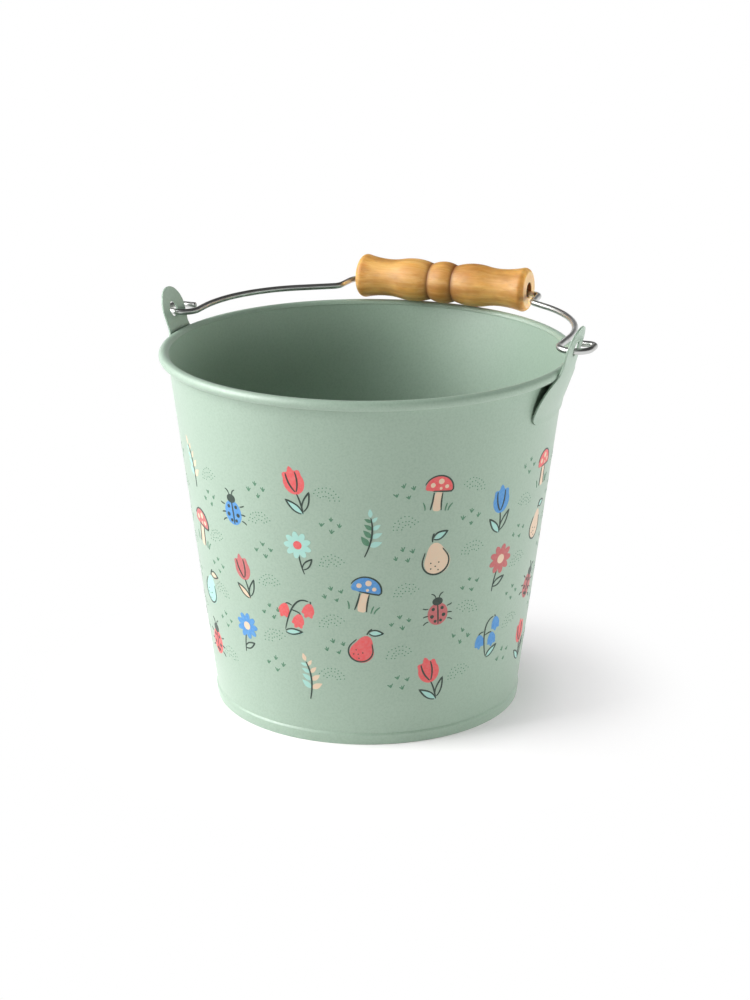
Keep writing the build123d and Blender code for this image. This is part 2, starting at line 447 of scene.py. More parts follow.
@dataclass(frozen=True)
class ZincWire(Finish):
    """Drawn steel wire under bright zinc: a clear mirror with fine lines along it and dull patches."""

    bright_code: str = "#D2D3D1"
    dull_code: str = "#AAA79F"
    line_width: float = 0.3             # across a drawing line, drawn coarser so that it shows
    line_length: float = 24.0
    line_depth: float = 0.003
    patch: float = 7.0
    patch_span: Pair = (0.45, 0.75)     # noise between which a patch sets in
    worn_most: float = 0.6              # wear at which the gloss is at its dullest
    gloss: Pair = (0.3, 0.46)

    def paint(self, tree: bpy.types.NodeTree, shader: bpy.types.Node) -> None:
        """Add drawing lines and dull patches, laid out on the wire as it was before it was bent.

        Args:
            tree: The material's node tree.
            shader: Its principled shader.
        """
        drawn = add_node(tree, "ShaderNodeAttribute", attribute_name="drawn").outputs["Vector"]
        lined = add_node(tree, "ShaderNodeVectorMath", {
            0: drawn, 1: (1 / self.line_length, 1 / self.line_width, 1 / self.line_width)},
            operation="MULTIPLY").outputs[0]
        lines, patches = (
            add_node(tree, "ShaderNodeTexNoise",
                     {"Vector": vector, "Scale": scale, "Detail": detail}).outputs[0]
            for vector, scale, detail in ((lined, 1.0, 2.0), (drawn, 1 / self.patch, 3.0)))
        dull = add_node(tree, "ShaderNodeMapRange", {
            "Value": patches, "From Min": self.patch_span[0], "From Max": self.patch_span[1]}).outputs[0]
        worn = add_node(tree, "ShaderNodeMath", {0: lines, 1: dull}, operation="MULTIPLY").outputs[0]
        colour = add_node(tree, "ShaderNodeMix", {
            0: worn, 6: linear(self.bright_code), 7: linear(self.dull_code)}, data_type="RGBA").outputs[2]
        gloss = add_node(tree, "ShaderNodeMapRange", {
            "Value": worn, "From Max": self.worn_most, "To Min": self.gloss[0], "To Max": self.gloss[1],
        }).outputs[0]
        bump = add_node(tree, "ShaderNodeBump", {
            "Height": lines, "Distance": self.line_depth * MM, "Strength": 1.0}).outputs[0]
        connect(tree, shader, {"Metallic": 1.0, "Base Color": colour, "Roughness": gloss, "Normal": bump})


@dataclass(frozen=True)
class TurnedWood(Finish):
    """Birch turned on a lathe and dipped in honey lacquer: fine grain, short pores, dark in the grooves.

    The grooves are dark with lacquer that gathered there and with painted shade, which also darkens the
    wood beside them and the bore.

    A pattern's pair of sizes is its length and its width. A span is the two noise values between which a
    pattern sets in, and its share is how strongly it then shows.
    """

    middle: Place = (0.0, 0.0, 0.0)     # the grip's own middle
    pale_code: str = "#EBBE74"
    honey_code: str = "#DFA650"
    ring_code: str = "#C4833A"
    blotch_code: str = "#AD6C1F"
    pore_code: str = "#8C5420"
    # colour of lacquer gathered in the grooves, and of painted shade in and beside them and in the bore
    groove_stain_and_shade_code: str = "#8A5222"
    end_code: str = "#EFD0A6"           # end grain, which the lacquer colours less
    grain: Pair = (30.0, 0.8)           # streaks
    grain_span: Pair = (0.3, 0.7)
    ring: float = 3.4                   # between growth rings
    ring_span: Pair = (0.35, 1.0)
    ring_share: float = 0.4
    ring_wander: float = 1.6            # how far the rings stray from a true circle
    wander_scale: float = 0.12
    pith: Pair = (-17.0, 12.0)          # middle of the rings beside the grip's axis
    pore: Pair = (3.2, 0.28)            # drawn wider than the pores are, so that they show
    pore_span: Pair = (0.62, 0.76)
    pore_share: float = 0.3
    pore_depth: float = 0.02
    blotch: Pair = (17.0, 8.0)          # places stained darker, which blotch_shift sets on the grip's shaded side, so partly painted shade
    blotch_span: Pair = (0.44, 0.66)
    blotch_share: float = 0.7
    blotch_shift: Place = (1.4, 7.9, 3.6)
    roughness: float = 0.56
    glow: float = 0.55                  # share of light that comes back out beside where it fell
    glow_depth: float = 5.0
    glow_reach: Place = (1.0, 0.6, 0.25)    # how much further red light gets than green and blue
    lacquer: float = 0.3
    lacquer_roughness: float = 0.5

    def paint(self, tree: bpy.types.NodeTree, shader: bpy.types.Node) -> None:
        """Add streaks along the grip, rings about the pith, blotches, pores, and the lacquer and painted
        shade of the grooves.

        Args:
            tree: The material's node tree.
            shader: Its principled shader.
        """
        wave_period = TURN / 20     # a wave texture of scale 1 repeats after this length
        still = (0.0, 0.0, 0.0)
        place = add_node(tree, "ShaderNodeTexCoord").outputs["Object"]
        own = add_node(tree, "ShaderNodeVectorMath", {
            0: place, 1: [axis * MM for axis in self.middle]}, operation="SUBTRACT").outputs[0]
        noises = []
        for (length, width), shift, detail in (
                (self.grain, still, 4.0), (self.pore, still, 1.0), (self.blotch, self.blotch_shift, 3.0)):
            stretched = add_node(tree, "ShaderNodeVectorMath", {
                0: own, 1: (per(length), per(width), per(width)), 2: shift},
                operation="MULTIPLY_ADD").outputs[0]
            noises.append(add_node(tree, "ShaderNodeTexNoise",
                                   {"Vector": stretched, "Scale": 1.0, "Detail": detail}).outputs[0])
        streaks, pores, blotches = noises
        from_pith = add_node(tree, "ShaderNodeVectorMath", {
            0: own, 1: (0.0, self.pith[0] * MM, self.pith[1] * MM)}, operation="SUBTRACT").outputs[0]
        rings = add_node(tree, "ShaderNodeTexWave", {
            "Vector": from_pith, "Scale": wave_period * per(self.ring), "Distortion": self.ring_wander,
            "Detail": 2.0, "Detail Scale": self.wander_scale},
            wave_type="RINGS", rings_direction="X").outputs[1]
        streak, ring, blotch, pore = (
            add_node(tree, "ShaderNodeMapRange", {
                "Value": value, "From Min": low, "From Max": high, "To Max": share}).outputs[0]
            for value, (low, high), share in (
                (streaks, self.grain_span, 1.0), (rings, self.ring_span, self.ring_share),
                (blotches, self.blotch_span, self.blotch_share), (pores, self.pore_span, self.pore_share)))
        # the groove attribute holds lacquer gathered in the grooves, and painted shade in and beside them
        # and in the bore
        end, groove = (add_node(tree, "ShaderNodeAttribute", attribute_name=name).outputs["Fac"]
                       for name in ("end_grain", "groove"))
        colour = linear(self.pale_code)
        layers = ((streak, self.honey_code), (ring, self.ring_code), (blotch, self.blotch_code),
                  (pore, self.pore_code), (end, self.end_code), (groove, self.groove_stain_and_shade_code))
        for share, code in layers:
            colour = add_node(tree, "ShaderNodeMix", {0: share, 6: colour, 7: linear(code)},
                              data_type="RGBA").outputs[2]
        bump = add_node(tree, "ShaderNodeBump", {
            "Height": pore, "Distance": -self.pore_depth * MM, "Strength": 1.0}).outputs[0]
        connect(tree, shader, {
            "Base Color": colour, "Normal": bump, "Roughness": self.roughness,
            "Subsurface Weight": self.glow, "Subsurface Radius": self.glow_reach,
            "Subsurface Scale": self.glow_depth * MM,
            "Coat Weight": self.lacquer, "Coat Roughness": self.lacquer_roughness})


@dataclass(frozen=True)
class PaperFloor(Finish):
    """Matt white studio paper, which shows as white but keeps the shadow of what stands on it."""

    paper_code: str = "#EFEFED"
    roughness: float = 0.9
    shine: float = 0.1
    glow_code: str = "#FFF8FF"  # a little short of green, of which the paint beside it throws back more
    glow: float = 0.34          # light of its own, which makes up for what the lamps leave it short of white
    contact: float = 23.0       # how near something has to stand to take from that light, as a painted contact shadow
    veil: float = 0.08          # share of plain white beside the object, which thins the shadow
    near: float = 60.0          # out to this distance the veil is even
    far: float = 138.0          # and outside this one the paper is plain white

    def paint(self, tree: bpy.types.NodeTree, shader: bpy.types.Node) -> None:
        """Add the paper's own light for the camera and reflections, with a painted contact shadow, and none
        for the object.

        Args:
            tree: The material's node tree.
            shader: Its principled shader.
        """
        connect(tree, shader, {"Base Color": linear(self.paper_code), "Roughness": self.roughness,
                               "Specular IOR Level": self.shine})
        place = add_node(tree, "ShaderNodeTexCoord").outputs["Object"]
        away = add_node(tree, "ShaderNodeVectorMath", {0: place}, operation="LENGTH").outputs["Value"]
        fade = add_node(tree, "ShaderNodeMapRange", {
            "Value": away, "From Min": self.near * MM, "From Max": self.far * MM, "To Min": self.veil},
            interpolation_type="SMOOTHSTEP").outputs[0]
        # painted contact shadow: ambient occlusion takes from the paper's own light beside what stands on it
        clear = add_node(tree, "ShaderNodeAmbientOcclusion",
                         {"Distance": self.contact * MM}).outputs["AO"]
        left = add_node(tree, "ShaderNodeMath", {0: clear, 1: self.glow}, operation="MULTIPLY").outputs[0]
        glow, white = (
            add_node(tree, "ShaderNodeEmission", {"Color": colour, "Strength": strength}).outputs[0]
            for colour, strength in ((linear(self.glow_code), left), (WHITE, 1.0)))
        shaded = add_node(tree, "ShaderNodeAddShader", {0: shader.outputs[0], 1: glow}).outputs[0]
        look = add_node(tree, "ShaderNodeMixShader", {0: fade, 1: shaded, 2: white}).outputs[0]
        both = add_node(tree, "ShaderNodeMixShader",
                        {0: looked_at(tree), 1: shader.outputs[0], 2: look}).outputs[0]
        connect(tree, tree.nodes["Material Output"], {"Surface": both})


POWDER_COAT = PowderCoat("sage_powder_coat")
WHITE = linear("#FFFFFF")


def set_on(piece: bpy.types.Object, finish: Finish, body: str, slot: str, *nodes: str) -> None:
    """Dress a piece and set it on its body.

    Args:
        piece: The piece, in place.
        finish: Its finish.
        body: The CAD body that it moves with.
        slot: The record's material slot; not used.
        nodes: CAD nodes that the piece stands for.
    """
    piece.data.materials.append(finish.material())
    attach(piece, body)
    if nodes:
        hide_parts(*nodes)
    log.info("%s: %d faces, %s, on %s", piece.name, len(piece.data.polygons), finish.name, body)


# Bucket

@dataclass(frozen=True)
class WallLine:
    """The wall seen in section: a straight sheet that runs up into the rolled rim."""

    rim_radius: float
    crest: float
    bottom: float
    foot_radius: float = 61.2   # outside of the wall at its bottom edge
    sheet: float = 0.5
    roll_radius: float = 2.0

    @classmethod
    def from_frame(cls) -> "WallLine":
        """Take the rim and the heights from the CAD wall."""
        low, high = node_box("bucket_body")
        return cls(rim_radius=high[:2].max(), crest=high[2], bottom=low[2])

    @property
    def roll_middle(self) -> Pair:
        """Middle of the roll as (radius, height)."""
        return self.rim_radius - self.roll_radius, self.crest - self.roll_radius

    @property
    def slope(self) -> float:
        """Work out the angle from upright at which the wall's middle line touches the roll's.

        Returns:
            The angle in radians.
        """
        out = self.roll_middle[0] - self.foot_radius + self.sheet / 2
        up = self.roll_middle[1] - self.bottom
        return math.atan2(out, up) - math.asin((self.roll_radius - self.sheet / 2) / math.hypot(out, up))

    def radius(self, height: Any, side: int) -> Any:
        """Find the wall's radius.

        Args:
            height: A height, or an array of them.
            side: 1 for the outside of the sheet, -1 for its inside.

        Returns:
            The radius at that height.
        """
        middle = self.foot_radius - self.sheet / 2 + (height - self.bottom) * math.tan(self.slope)
        return middle + side * self.sheet / 2 / math.cos(self.slope)

    def on_roll(self, radius: float, turns: Array) -> Array:
        """Find points on the roll.

        Args:
            radius: Radius about the roll's middle.
            turns: Degrees on from where the wall runs into the roll.

        Returns:
            The points as (radius, height).
        """
        angles = np.pi - np.radians(turns) - self.slope
        return on_circle(angles) * radius + self.roll_middle

    def lay(self, around: Array, height: Array, proud: Array) -> Array:
        """Lay points on the outside of the wall.

        The point is the cone's own at that angle and height, moved along the cone's normal.

        Args:
            around: Angles round the axis, in radians.
            height: Heights on the wall.
            proud: How far the points stand off the wall.

        Returns:
            The points in space.
        """
        reach = self.radius(height, 1) + proud * math.cos(self.slope)
        return np.stack([reach * np.cos(around), reach * np.sin(around),
                         height - proud * math.sin(self.slope)], axis=-1)


@dataclass(frozen=True)
class Bucket:
    """The conical wall with its rolled rim, and the base pan that is seamed to it."""

    wall: WallLine
    curl: float = 300.0         # degrees that the edge is rolled through
    crease_drop: float = 1.5    # from the crest down to a fold inside the rim, where rolling crimped it
    crease_height: float = 0.18
    crease_width: float = 0.22
    crease_reach: float = 45.0  # degrees at the start of the roll that are drawn finely for it
    pan_sheet: float = 0.5
    pan_lift: float = 4.0
    band_height: float = 4.5
    pan_bend: float = 0.4
    seam_gap: float = 0.05
    band_round: float = 0.6     # outer edge of the band's top
    band_slope: float = 0.9     # how much further up the wall its paint reaches than its outer edge does
    paint_fill: float = 0.02    # how far the band reaches into the wall there, as paint closes the seam
    mark_angle: float = -74.8   # where seaming left a faint upright ridge by the base
    mark_rise: float = 11.0
    mark_height: float = 0.15
    mark_width: float = 2.2
    mark_length: float = 5.0
    foot_top: float = 33.0      # up to here the wall is drawn more finely, for that ridge
    steps: int = 480            # round the bucket
    curl_rows: int = 36         # rows of the mesh: inside the roll, on its outside, and round the fold
    roll_rows: int = 34
    crease_rows: int = 25
    near_rows: int = 10         # inside the wall below the fold, on the plain wall, and at its foot
    wall_rows: int = 12
    foot_rows: int = 24
    bend_steps: int = 6         # in each bend of the pan

    def build(self) -> None:
        """Build and dress the wall and the base."""
        slot = "painted_steel"
        set_on(self.wall_skin().piece("bucket_wall"), POWDER_COAT, "bucket", slot, "bucket_body")
        set_on(self.base_skin().piece("base_pan_pressed"), POWDER_COAT, "bucket", slot, "base_pan")

    def wall_skin(self) -> Skin:
        """Turn the wall's section: up its outside, round the roll and back, and down its inside.

        Returns:
            The closed surface of the wall.
        """
        wall = self.wall
        under = wall.on_roll(wall.roll_radius - wall.sheet, np.linspace(0, self.curl, self.curl_rows))
        over_turns = [np.linspace(self.curl, self.crease_reach, self.roll_rows),
                      np.linspace(self.crease_reach, 0, self.crease_rows)[1:]]
        over = wall.on_roll(wall.roll_radius, np.concatenate(over_turns))
        foot = np.linspace(wall.bottom, self.foot_top, self.foot_rows)
        up = np.concatenate([foot, np.linspace(self.foot_top, under[0, 1], self.wall_rows)[1:-1]])
        outside = np.stack([wall.radius(up, 1), up], axis=-1)
        near_rim = np.linspace(over[-1, 1], wall.crest - 2 * self.crease_drop, self.near_rows)
        plain = np.linspace(near_rim[-1], self.foot_top, self.wall_rows)[1:-1]
        down = np.concatenate([near_rim[1:], plain, foot[::-1]])
        inside = np.stack([wall.radius(down, -1), down], axis=-1)
        rolled = np.concatenate([over, inside])
        grid = turned(np.concatenate([outside, under, rolled]), self.steps)
        push = self.ridge(grid)
        push[-len(rolled):] -= self.crease(grid[-len(rolled):])
        grid[..., :2] *= 1 + (push / np.hypot(grid[..., 0], grid[..., 1]))[..., None]
        return Skin.weave(grid, wrap_rows=True, wrap_columns=True)

    def ridge(self, grid: Array) -> Array:
        """Work out the faint ridge by the base: its height times bell curves of the way round and up.

        Args:
            grid: Points of the wall.

        Returns:
            How far each point stands out.
        """
        reach = np.hypot(grid[..., 0], grid[..., 1])
        angle = np.arctan2(grid[..., 1], grid[..., 0])
        aside = (angle - math.radians(self.mark_angle)) * reach / self.mark_width
        above = (grid[..., 2] - self.mark_rise) / self.mark_length
        return self.mark_height * np.exp(-aside**2 - above**2)

    def crease(self, grid: Array) -> Array:
        """Work out the fold inside the rim: its height times a bell curve of the way up.

        Args:
            grid: Points of the roll and of the wall's inside.

        Returns:
            How far each point stands in.
        """
        reach = np.hypot(grid[..., 0], grid[..., 1])
        above = (grid[..., 2] - self.wall.crest + self.crease_drop) / self.crease_width
        within = reach < self.wall.roll_middle[0]
        return within * self.crease_height * np.exp(-above**2)

    def base_skin(self) -> Skin:
        """Turn the pan's section: disc, flange inside the wall, channel floor and band outside it.

        Returns:
            The closed surface of the pan, with a pole on each face of the disc.
        """
        wall = self.wall
        thick = self.pan_sheet / math.cos(wall.slope)
        top = self.pan_lift + self.pan_sheet
        painted_to = self.band_height + self.band_slope / 2

        def beside(side: int, height: float, layer: int) -> Pair:
            """A corner off the wall's outside (1) or inside (-1), so many sheets away."""
            return wall.radius(height, side) + side * (self.seam_gap + layer * thick), height

        corners = [
            (0.0, self.pan_lift), beside(-1, self.pan_lift, 1), beside(-1, 0.0, 1), beside(1, 0.0, 1),
            beside(1, self.band_height - self.band_slope / 2, 1),
            (wall.radius(painted_to, 1) - self.paint_fill, painted_to),
            beside(1, self.pan_sheet, 0), beside(-1, self.pan_sheet, 0), beside(-1, top, 0), (0.0, top),
        ]
        bend = self.pan_bend
        radii = [bend, bend, bend, self.band_round, self.paint_fill, bend / 2, bend / 2, bend]
        profile = rounded_line(corners, radii, self.bend_steps)
        return Skin.weave(turned(profile, self.steps), wrap_columns=True, poles=True)


# Ears

class Side(Enum):
    """The two sides of the bucket, along X."""

    LEFT = -1
    RIGHT = 1


@dataclass(frozen=True)
class Ear:
    """A pressed lug: its foot is welded to the wall, its neck passes the rim, and its head is pierced."""

    wall: WallLine
    side: Side
    top: float
    foot_bottom: float
    foot_half: float
    sheet: float = 0.8
    hole_radius: float = 2.9
    head_radius: float = 8.9
    neck_half: float = 8.0
    neck_drop: float = 0.6          # drops are from the crest of the rim
    shoulder_drop: float = 7.5
    foot_crown: float = 1.4
    contact: float = 3.5            # height of the foot that lies on the wall
    weld_gap: float = 0.05
    rim_gap: float = 0.1
    lean: float = 16.0
    bends: Pair = (5.8, 1.2)        # where it leaves the wall and at the neck
    rounds: tuple[float, ...] = (4.0, 14.0, 4.5)    # neck, shoulder and foot corner
    crown_round: float = 70.0
    chord_drop: float = 5.2         # from the hole down to where the head's spokes end
    edge_round: float = 0.24
    edge_from: float = 50.0         # degrees from which an edge is rounded
    edge_steps: int = 3
    same_place: float = 0.002       # within this, points that head and foot share become one
    bend_steps: int = 16            # in each bend and each corner of the outline
    spokes: int = 56                # from the hole to the round edge of the head
    spoke_rows: int = 9             # points along each
    chord_steps: int = 20
    foot_rows: int = 30

    @classmethod
    def from_frame(cls, wall: WallLine, side: Side) -> "Ear":
        """Take the height and width from the CAD ear of a side."""
        low, high = node_box(f"ear_{side.name.lower()}")
        return cls(wall, side, top=high[2], foot_bottom=low[2], foot_half=high[1])

    @property
    def hole_height(self) -> float:
        """Height of the middle of the hole."""
        return self.top - self.head_radius

    def inner_line(self) -> Array:
        """The ear's inner face in section: up the wall, then two runs that both just clear the rim.

        Returns:
            Points as (radius, height), from the foot to the top.
        """
        roll_radius, roll_height = self.wall.roll_middle
        contact_top = self.foot_bottom + self.contact
        contact_radius = self.wall.radius(contact_top, 1) + self.weld_gap
        clear = self.wall.roll_radius + self.rim_gap
        out = roll_radius - contact_radius
        up = roll_height - contact_top
        past = math.atan2(out, up) + math.asin(clear / math.hypot(out, up))
        lean = math.radians(self.lean)
        middle = (past + lean) / 2
        reach = clear / math.cos((past - lean) / 2)
        neck = (roll_radius + reach * math.cos(middle), roll_height - reach * math.sin(middle))
        line = [
            (self.wall.radius(self.foot_bottom, 1) + self.weld_gap, self.foot_bottom),
            (contact_radius, contact_top),
            neck,
            (neck[0] + (self.top - neck[1]) * math.tan(lean), self.top),
        ]
        return rounded_line(line, self.bends, self.bend_steps)

    def head_grid(self) -> tuple[Array, Array]:
        """Lay out the head, flat: spokes from the hole to the round head, its neck lines or the chord.

        The head's edge lies at its radius, and below the touching points of the two neck lines at the
        radius over the cosine of the angle from there.

        Returns:
            The grid of (across, height), with rows from the edge to the hole, and the chord's points.
        """
        below = self.hole_height - self.wall.crest + self.neck_drop
        touch = math.acos(self.head_radius / math.hypot(self.neck_half, below)) - math.atan2(
            below, self.neck_half)
        chord_half = (self.head_radius - self.chord_drop * math.sin(-touch)) / math.cos(touch)
        first = math.atan2(-self.chord_drop, chord_half)
        angles = np.linspace(first, math.pi - first, self.spokes)
        folded = np.where(angles > math.pi / 2, math.pi - angles, angles)
        reach = self.head_radius / np.cos(np.minimum(0, folded - touch))
        around = on_circle(angles) * reach[:, None]
        across = np.linspace(-chord_half, chord_half, self.chord_steps + 1)
        chord = np.stack([across, np.full_like(across, -self.chord_drop)], axis=-1)
        edge = np.concatenate([around, chord[1:-1]])
        hole = edge / np.linalg.norm(edge, axis=1, keepdims=True) * self.hole_radius
        share = np.linspace(0, 1, self.spoke_rows)[:, None, None]
        middle = np.array([0.0, self.hole_height])
        return edge + share * (hole - edge) + middle, chord + middle

    def foot_grid(self, chord: Array) -> Array:
        """Lay out the neck and foot, flat: a patch between the chord, both sides and the crowned edge.

        The patch is the mix of its top and bottom edges plus the mix of its sides, less the mix of its
        four corners.

        Args:
            chord: Points of its top edge, from left to right.

        Returns:
            The grid of (across, height), with rows from the chord down.
        """
        steps = self.bend_steps
        crest = self.wall.crest
        side = [
            tuple(chord[-1]),
            (self.neck_half, crest - self.neck_drop),
            (self.foot_half, crest - self.shoulder_drop),
            (self.foot_half, self.foot_bottom + self.foot_crown),
        ]
        mirrored = [(-across, height) for across, height in reversed(side)]
        radii = [*self.rounds, self.crown_round, *reversed(self.rounds)]
        outline = rounded_line(side + [(0.0, self.foot_bottom)] + mirrored, radii, steps)
        corner = 1 + 2 * (steps + 1) + steps // 2
        right = resampled(outline[:corner + 1], self.foot_rows)
        left = right * (-1, 1)
        bottom = resampled(outline[corner:len(outline) - corner], len(chord))[::-1]
        u = np.linspace(0, 1, len(chord))[None, :, None]
        v = np.linspace(0, 1, self.foot_rows)[:, None, None]
        corners = ((1 - u) * ((1 - v) * chord[0] + v * bottom[0])
                   + u * ((1 - v) * chord[-1] + v * bottom[-1]))
        return ((1 - v) * chord + v * bottom + (1 - u) * left[:, None] + u * right[:, None]) - corners

    def bent(self, flat: Array) -> Array:
        """Bend a flat grid to the ear's section and round the bucket's axis.

        The radius comes from the section at that height, and x is the root of its square less the
        square of the distance across.

        Args:
            flat: Points as (across, height).

        Returns:
            The points in space, on the ear's inner face.
        """
        line = self.inner_line()
        radius = np.interp(flat[..., 1], line[:, 1], line[:, 0])
        out = np.sqrt(radius**2 - flat[..., 0]**2)
        return np.stack([self.side.value * out, self.side.value * flat[..., 0], flat[..., 1]], axis=-1)

    def build(self) -> None:
        """Build the inner face, give it the sheet's thickness and rounded edges, and dress it."""
        head, chord = self.head_grid()
        foot = self.foot_grid(chord)
        skins = [Skin.weave(self.bent(head), wrap_columns=True), Skin.weave(self.bent(foot[::-1]))]
        name = f"ear_{self.side.name.lower()}"
        piece = Skin.join(skins).piece(f"{name}_pressed")
        weld = piece.modifiers.new("shared_chord", "WELD")
        weld.merge_threshold = self.same_place * MM
        sheet = piece.modifiers.new("sheet", "SOLIDIFY")
        sheet.thickness = self.sheet * MM
        sheet.offset = 1.0
        edge = piece.modifiers.new("rounded_edge", "BEVEL")
        edge.width = self.edge_round * MM
        edge.segments = self.edge_steps
        edge.limit_method = "ANGLE"
        edge.angle_limit = math.radians(self.edge_from)
        edge.harden_normals = True
        set_on(piece, POWDER_COAT, "bucket", "painted_steel", name)


# Bail

@dataclass(frozen=True)
class Grip:
    """A turned wooden grip: a bead between two grooves, then a belly, a waist and a flared end each way."""

    middle: Place
    length: float
    bead: float = 8.8               # radii
    groove: float = 7.5
    belly: float = 9.0
    waist: float = 7.8
    end: float = 10.0
    bore: float = 3.2
    groove_offset: float = 5.3      # offsets from the middle of the grip
    belly_offset: float = 13.6
    waist_offset: float = 24.8
    end_round: float = 2.4
    bore_round: float = 0.35
    groove_stain_and_shade: Pair = (0.5, 0.9)     # how dark the grooves are, and over what width: lacquer gathered there, and painted shade
    belly_shade: Pair = (0.35, 4.0)     # painted shade on the wood beside them: how dark, and over what width
    # how dark the bore is, as painted shade
    bore_shade: float = 0.9
    end_share: float = 0.6          # how much the end faces show of their paler end grain
    steps: int = 120                # round the grip
    arc_rows: int = 22              # rows of the mesh along each crest or hollow
    round_rows: int = 14
    face_rows: int = 10
    mouth_rows: int = 6
    bore_rows: int = 24

    @classmethod
    def from_frame(cls) -> "Grip":
        """Take the length and place from the CAD grip and its axis from the joint.

        Returns:
            The grip.
        """
        low, high = node_box("handle_grip")
        axis = joint_place("grip_spin")
        return cls(middle=((low[0] + high[0]) / 2, axis[1], axis[2]), length=high[0] - low[0])

    def half_profile(self) -> Array:
        """The turned outline from the middle to one end, and the end face to the bore.

        Bead, belly and waist are round crests and hollows: beside each, the radius leaves its own by
        R less the root of R squared less the square of the distance, where the arc of radius R runs to
        the groove, to half way between belly and waist, or to the end. A smaller arc rounds the end.

        Returns:
            Points as (along, radius).
        """
        half = self.length / 2
        middle_way = ((self.belly_offset + self.waist_offset) / 2, (self.belly + self.waist) / 2)
        grooved = (self.groove_offset, self.groove)
        belly = (self.belly_offset, self.belly)
        waist = (self.waist_offset, self.waist)

        def arc_radius(crest: Pair, end: Pair) -> float:
            """Radius of the arc that leaves a crest level and runs through the end."""
            along, away = end[0] - crest[0], end[1] - crest[1]
            return (along**2 + away**2) / (2 * abs(away))

        def arc(crest: Pair, end: Pair, stop: float) -> Array:
            """Walk along that arc.

            Args:
                crest: Where the arc starts, level.
                end: A point that it runs through.
                stop: How far along it is followed.

            Returns:
                Its points as (along, radius).
            """
            radius = arc_radius(crest, end)
            along = np.linspace(crest[0], stop, self.arc_rows)
            away = radius - np.sqrt(radius**2 - (along - crest[0])**2)
            return np.stack([along, crest[1] + math.copysign(1, end[1] - crest[1]) * away], axis=-1)

        flare = arc_radius(waist, (half, self.end))
        flare_middle = np.array([waist[0], waist[1] + flare])
        inset = half - self.end_round
        drop = math.sqrt((flare + self.end_round)**2 - (inset - waist[0])**2)
        round_middle = np.array([inset, flare_middle[1] - drop])
        touch = flare_middle + (round_middle - flare_middle) * flare / (flare + self.end_round)
        start = math.atan2(*(touch - round_middle)[::-1])
        rim = round_middle + self.end_round * on_circle(np.linspace(start, 0, self.round_rows))
        mouth_middle = np.array([half - self.bore_round, self.bore + self.bore_round])
        mouth = mouth_middle + self.bore_round * on_circle(np.linspace(0, -math.pi / 2, self.mouth_rows))
        face = np.linspace(rim[-1], mouth[0], self.face_rows)[1:-1]
        return np.concatenate([
            arc((0.0, self.bead), grooved, grooved[0])[:-1],
            arc(belly, grooved, grooved[0])[::-1][:-1],
            arc(belly, middle_way, middle_way[0])[:-1],
            arc(waist, middle_way, middle_way[0])[::-1][:-1],
            arc(waist, (half, self.end), touch[0])[:-1],
            rim, face, mouth,
        ])

    def build(self) -> None:
        """Turn the profile round the grip's axis, note where lacquer and painted shade darken it, and dress
        it.
        """
        half = self.half_profile()
        left = half[:0:-1] * (-1, 1)
        inside = np.linspace(half[-1, 0], left[0, 0], self.bore_rows + 2)[1:-1]
        bore = np.stack([inside, np.full_like(inside, self.bore)], axis=-1)
        profile = np.concatenate([left, half, bore])
        grid = turned(profile[:, ::-1], self.steps)[..., [2, 0, 1]] + np.array(self.middle)
        piece = Skin.weave(grid, wrap_rows=True, wrap_columns=True).piece("grip_turned")
        along = np.abs(profile[:, 0])
        radius = profile[:, 1]
        aside = along - self.groove_offset
        stain_and_shade_bands = (self.groove_stain_and_shade, self.belly_shade)
        # lacquer gathered in the grooves, and painted shade in and beside them and in the bore
        stain_and_shade = sum(share * np.exp(-(aside / width)**2) for share, width in stain_and_shade_bands)
        stain_and_shade = np.where(radius <= self.bore + TINY, self.bore_shade, stain_and_shade)
        on_face = (along > self.length / 2 - self.bore_round / 2) & (radius > self.bore)
        for name, share in (("groove", stain_and_shade), ("end_grain", self.end_share * on_face)):
            values = piece.data.attributes.new(name, "FLOAT", "POINT").data
            values.foreach_set("value", np.repeat(share, self.steps).astype(np.float32))
        finish = TurnedWood("lacquered_birch", middle=self.middle)
        set_on(piece, finish, "grip", "lacquered_wood", "handle_grip")


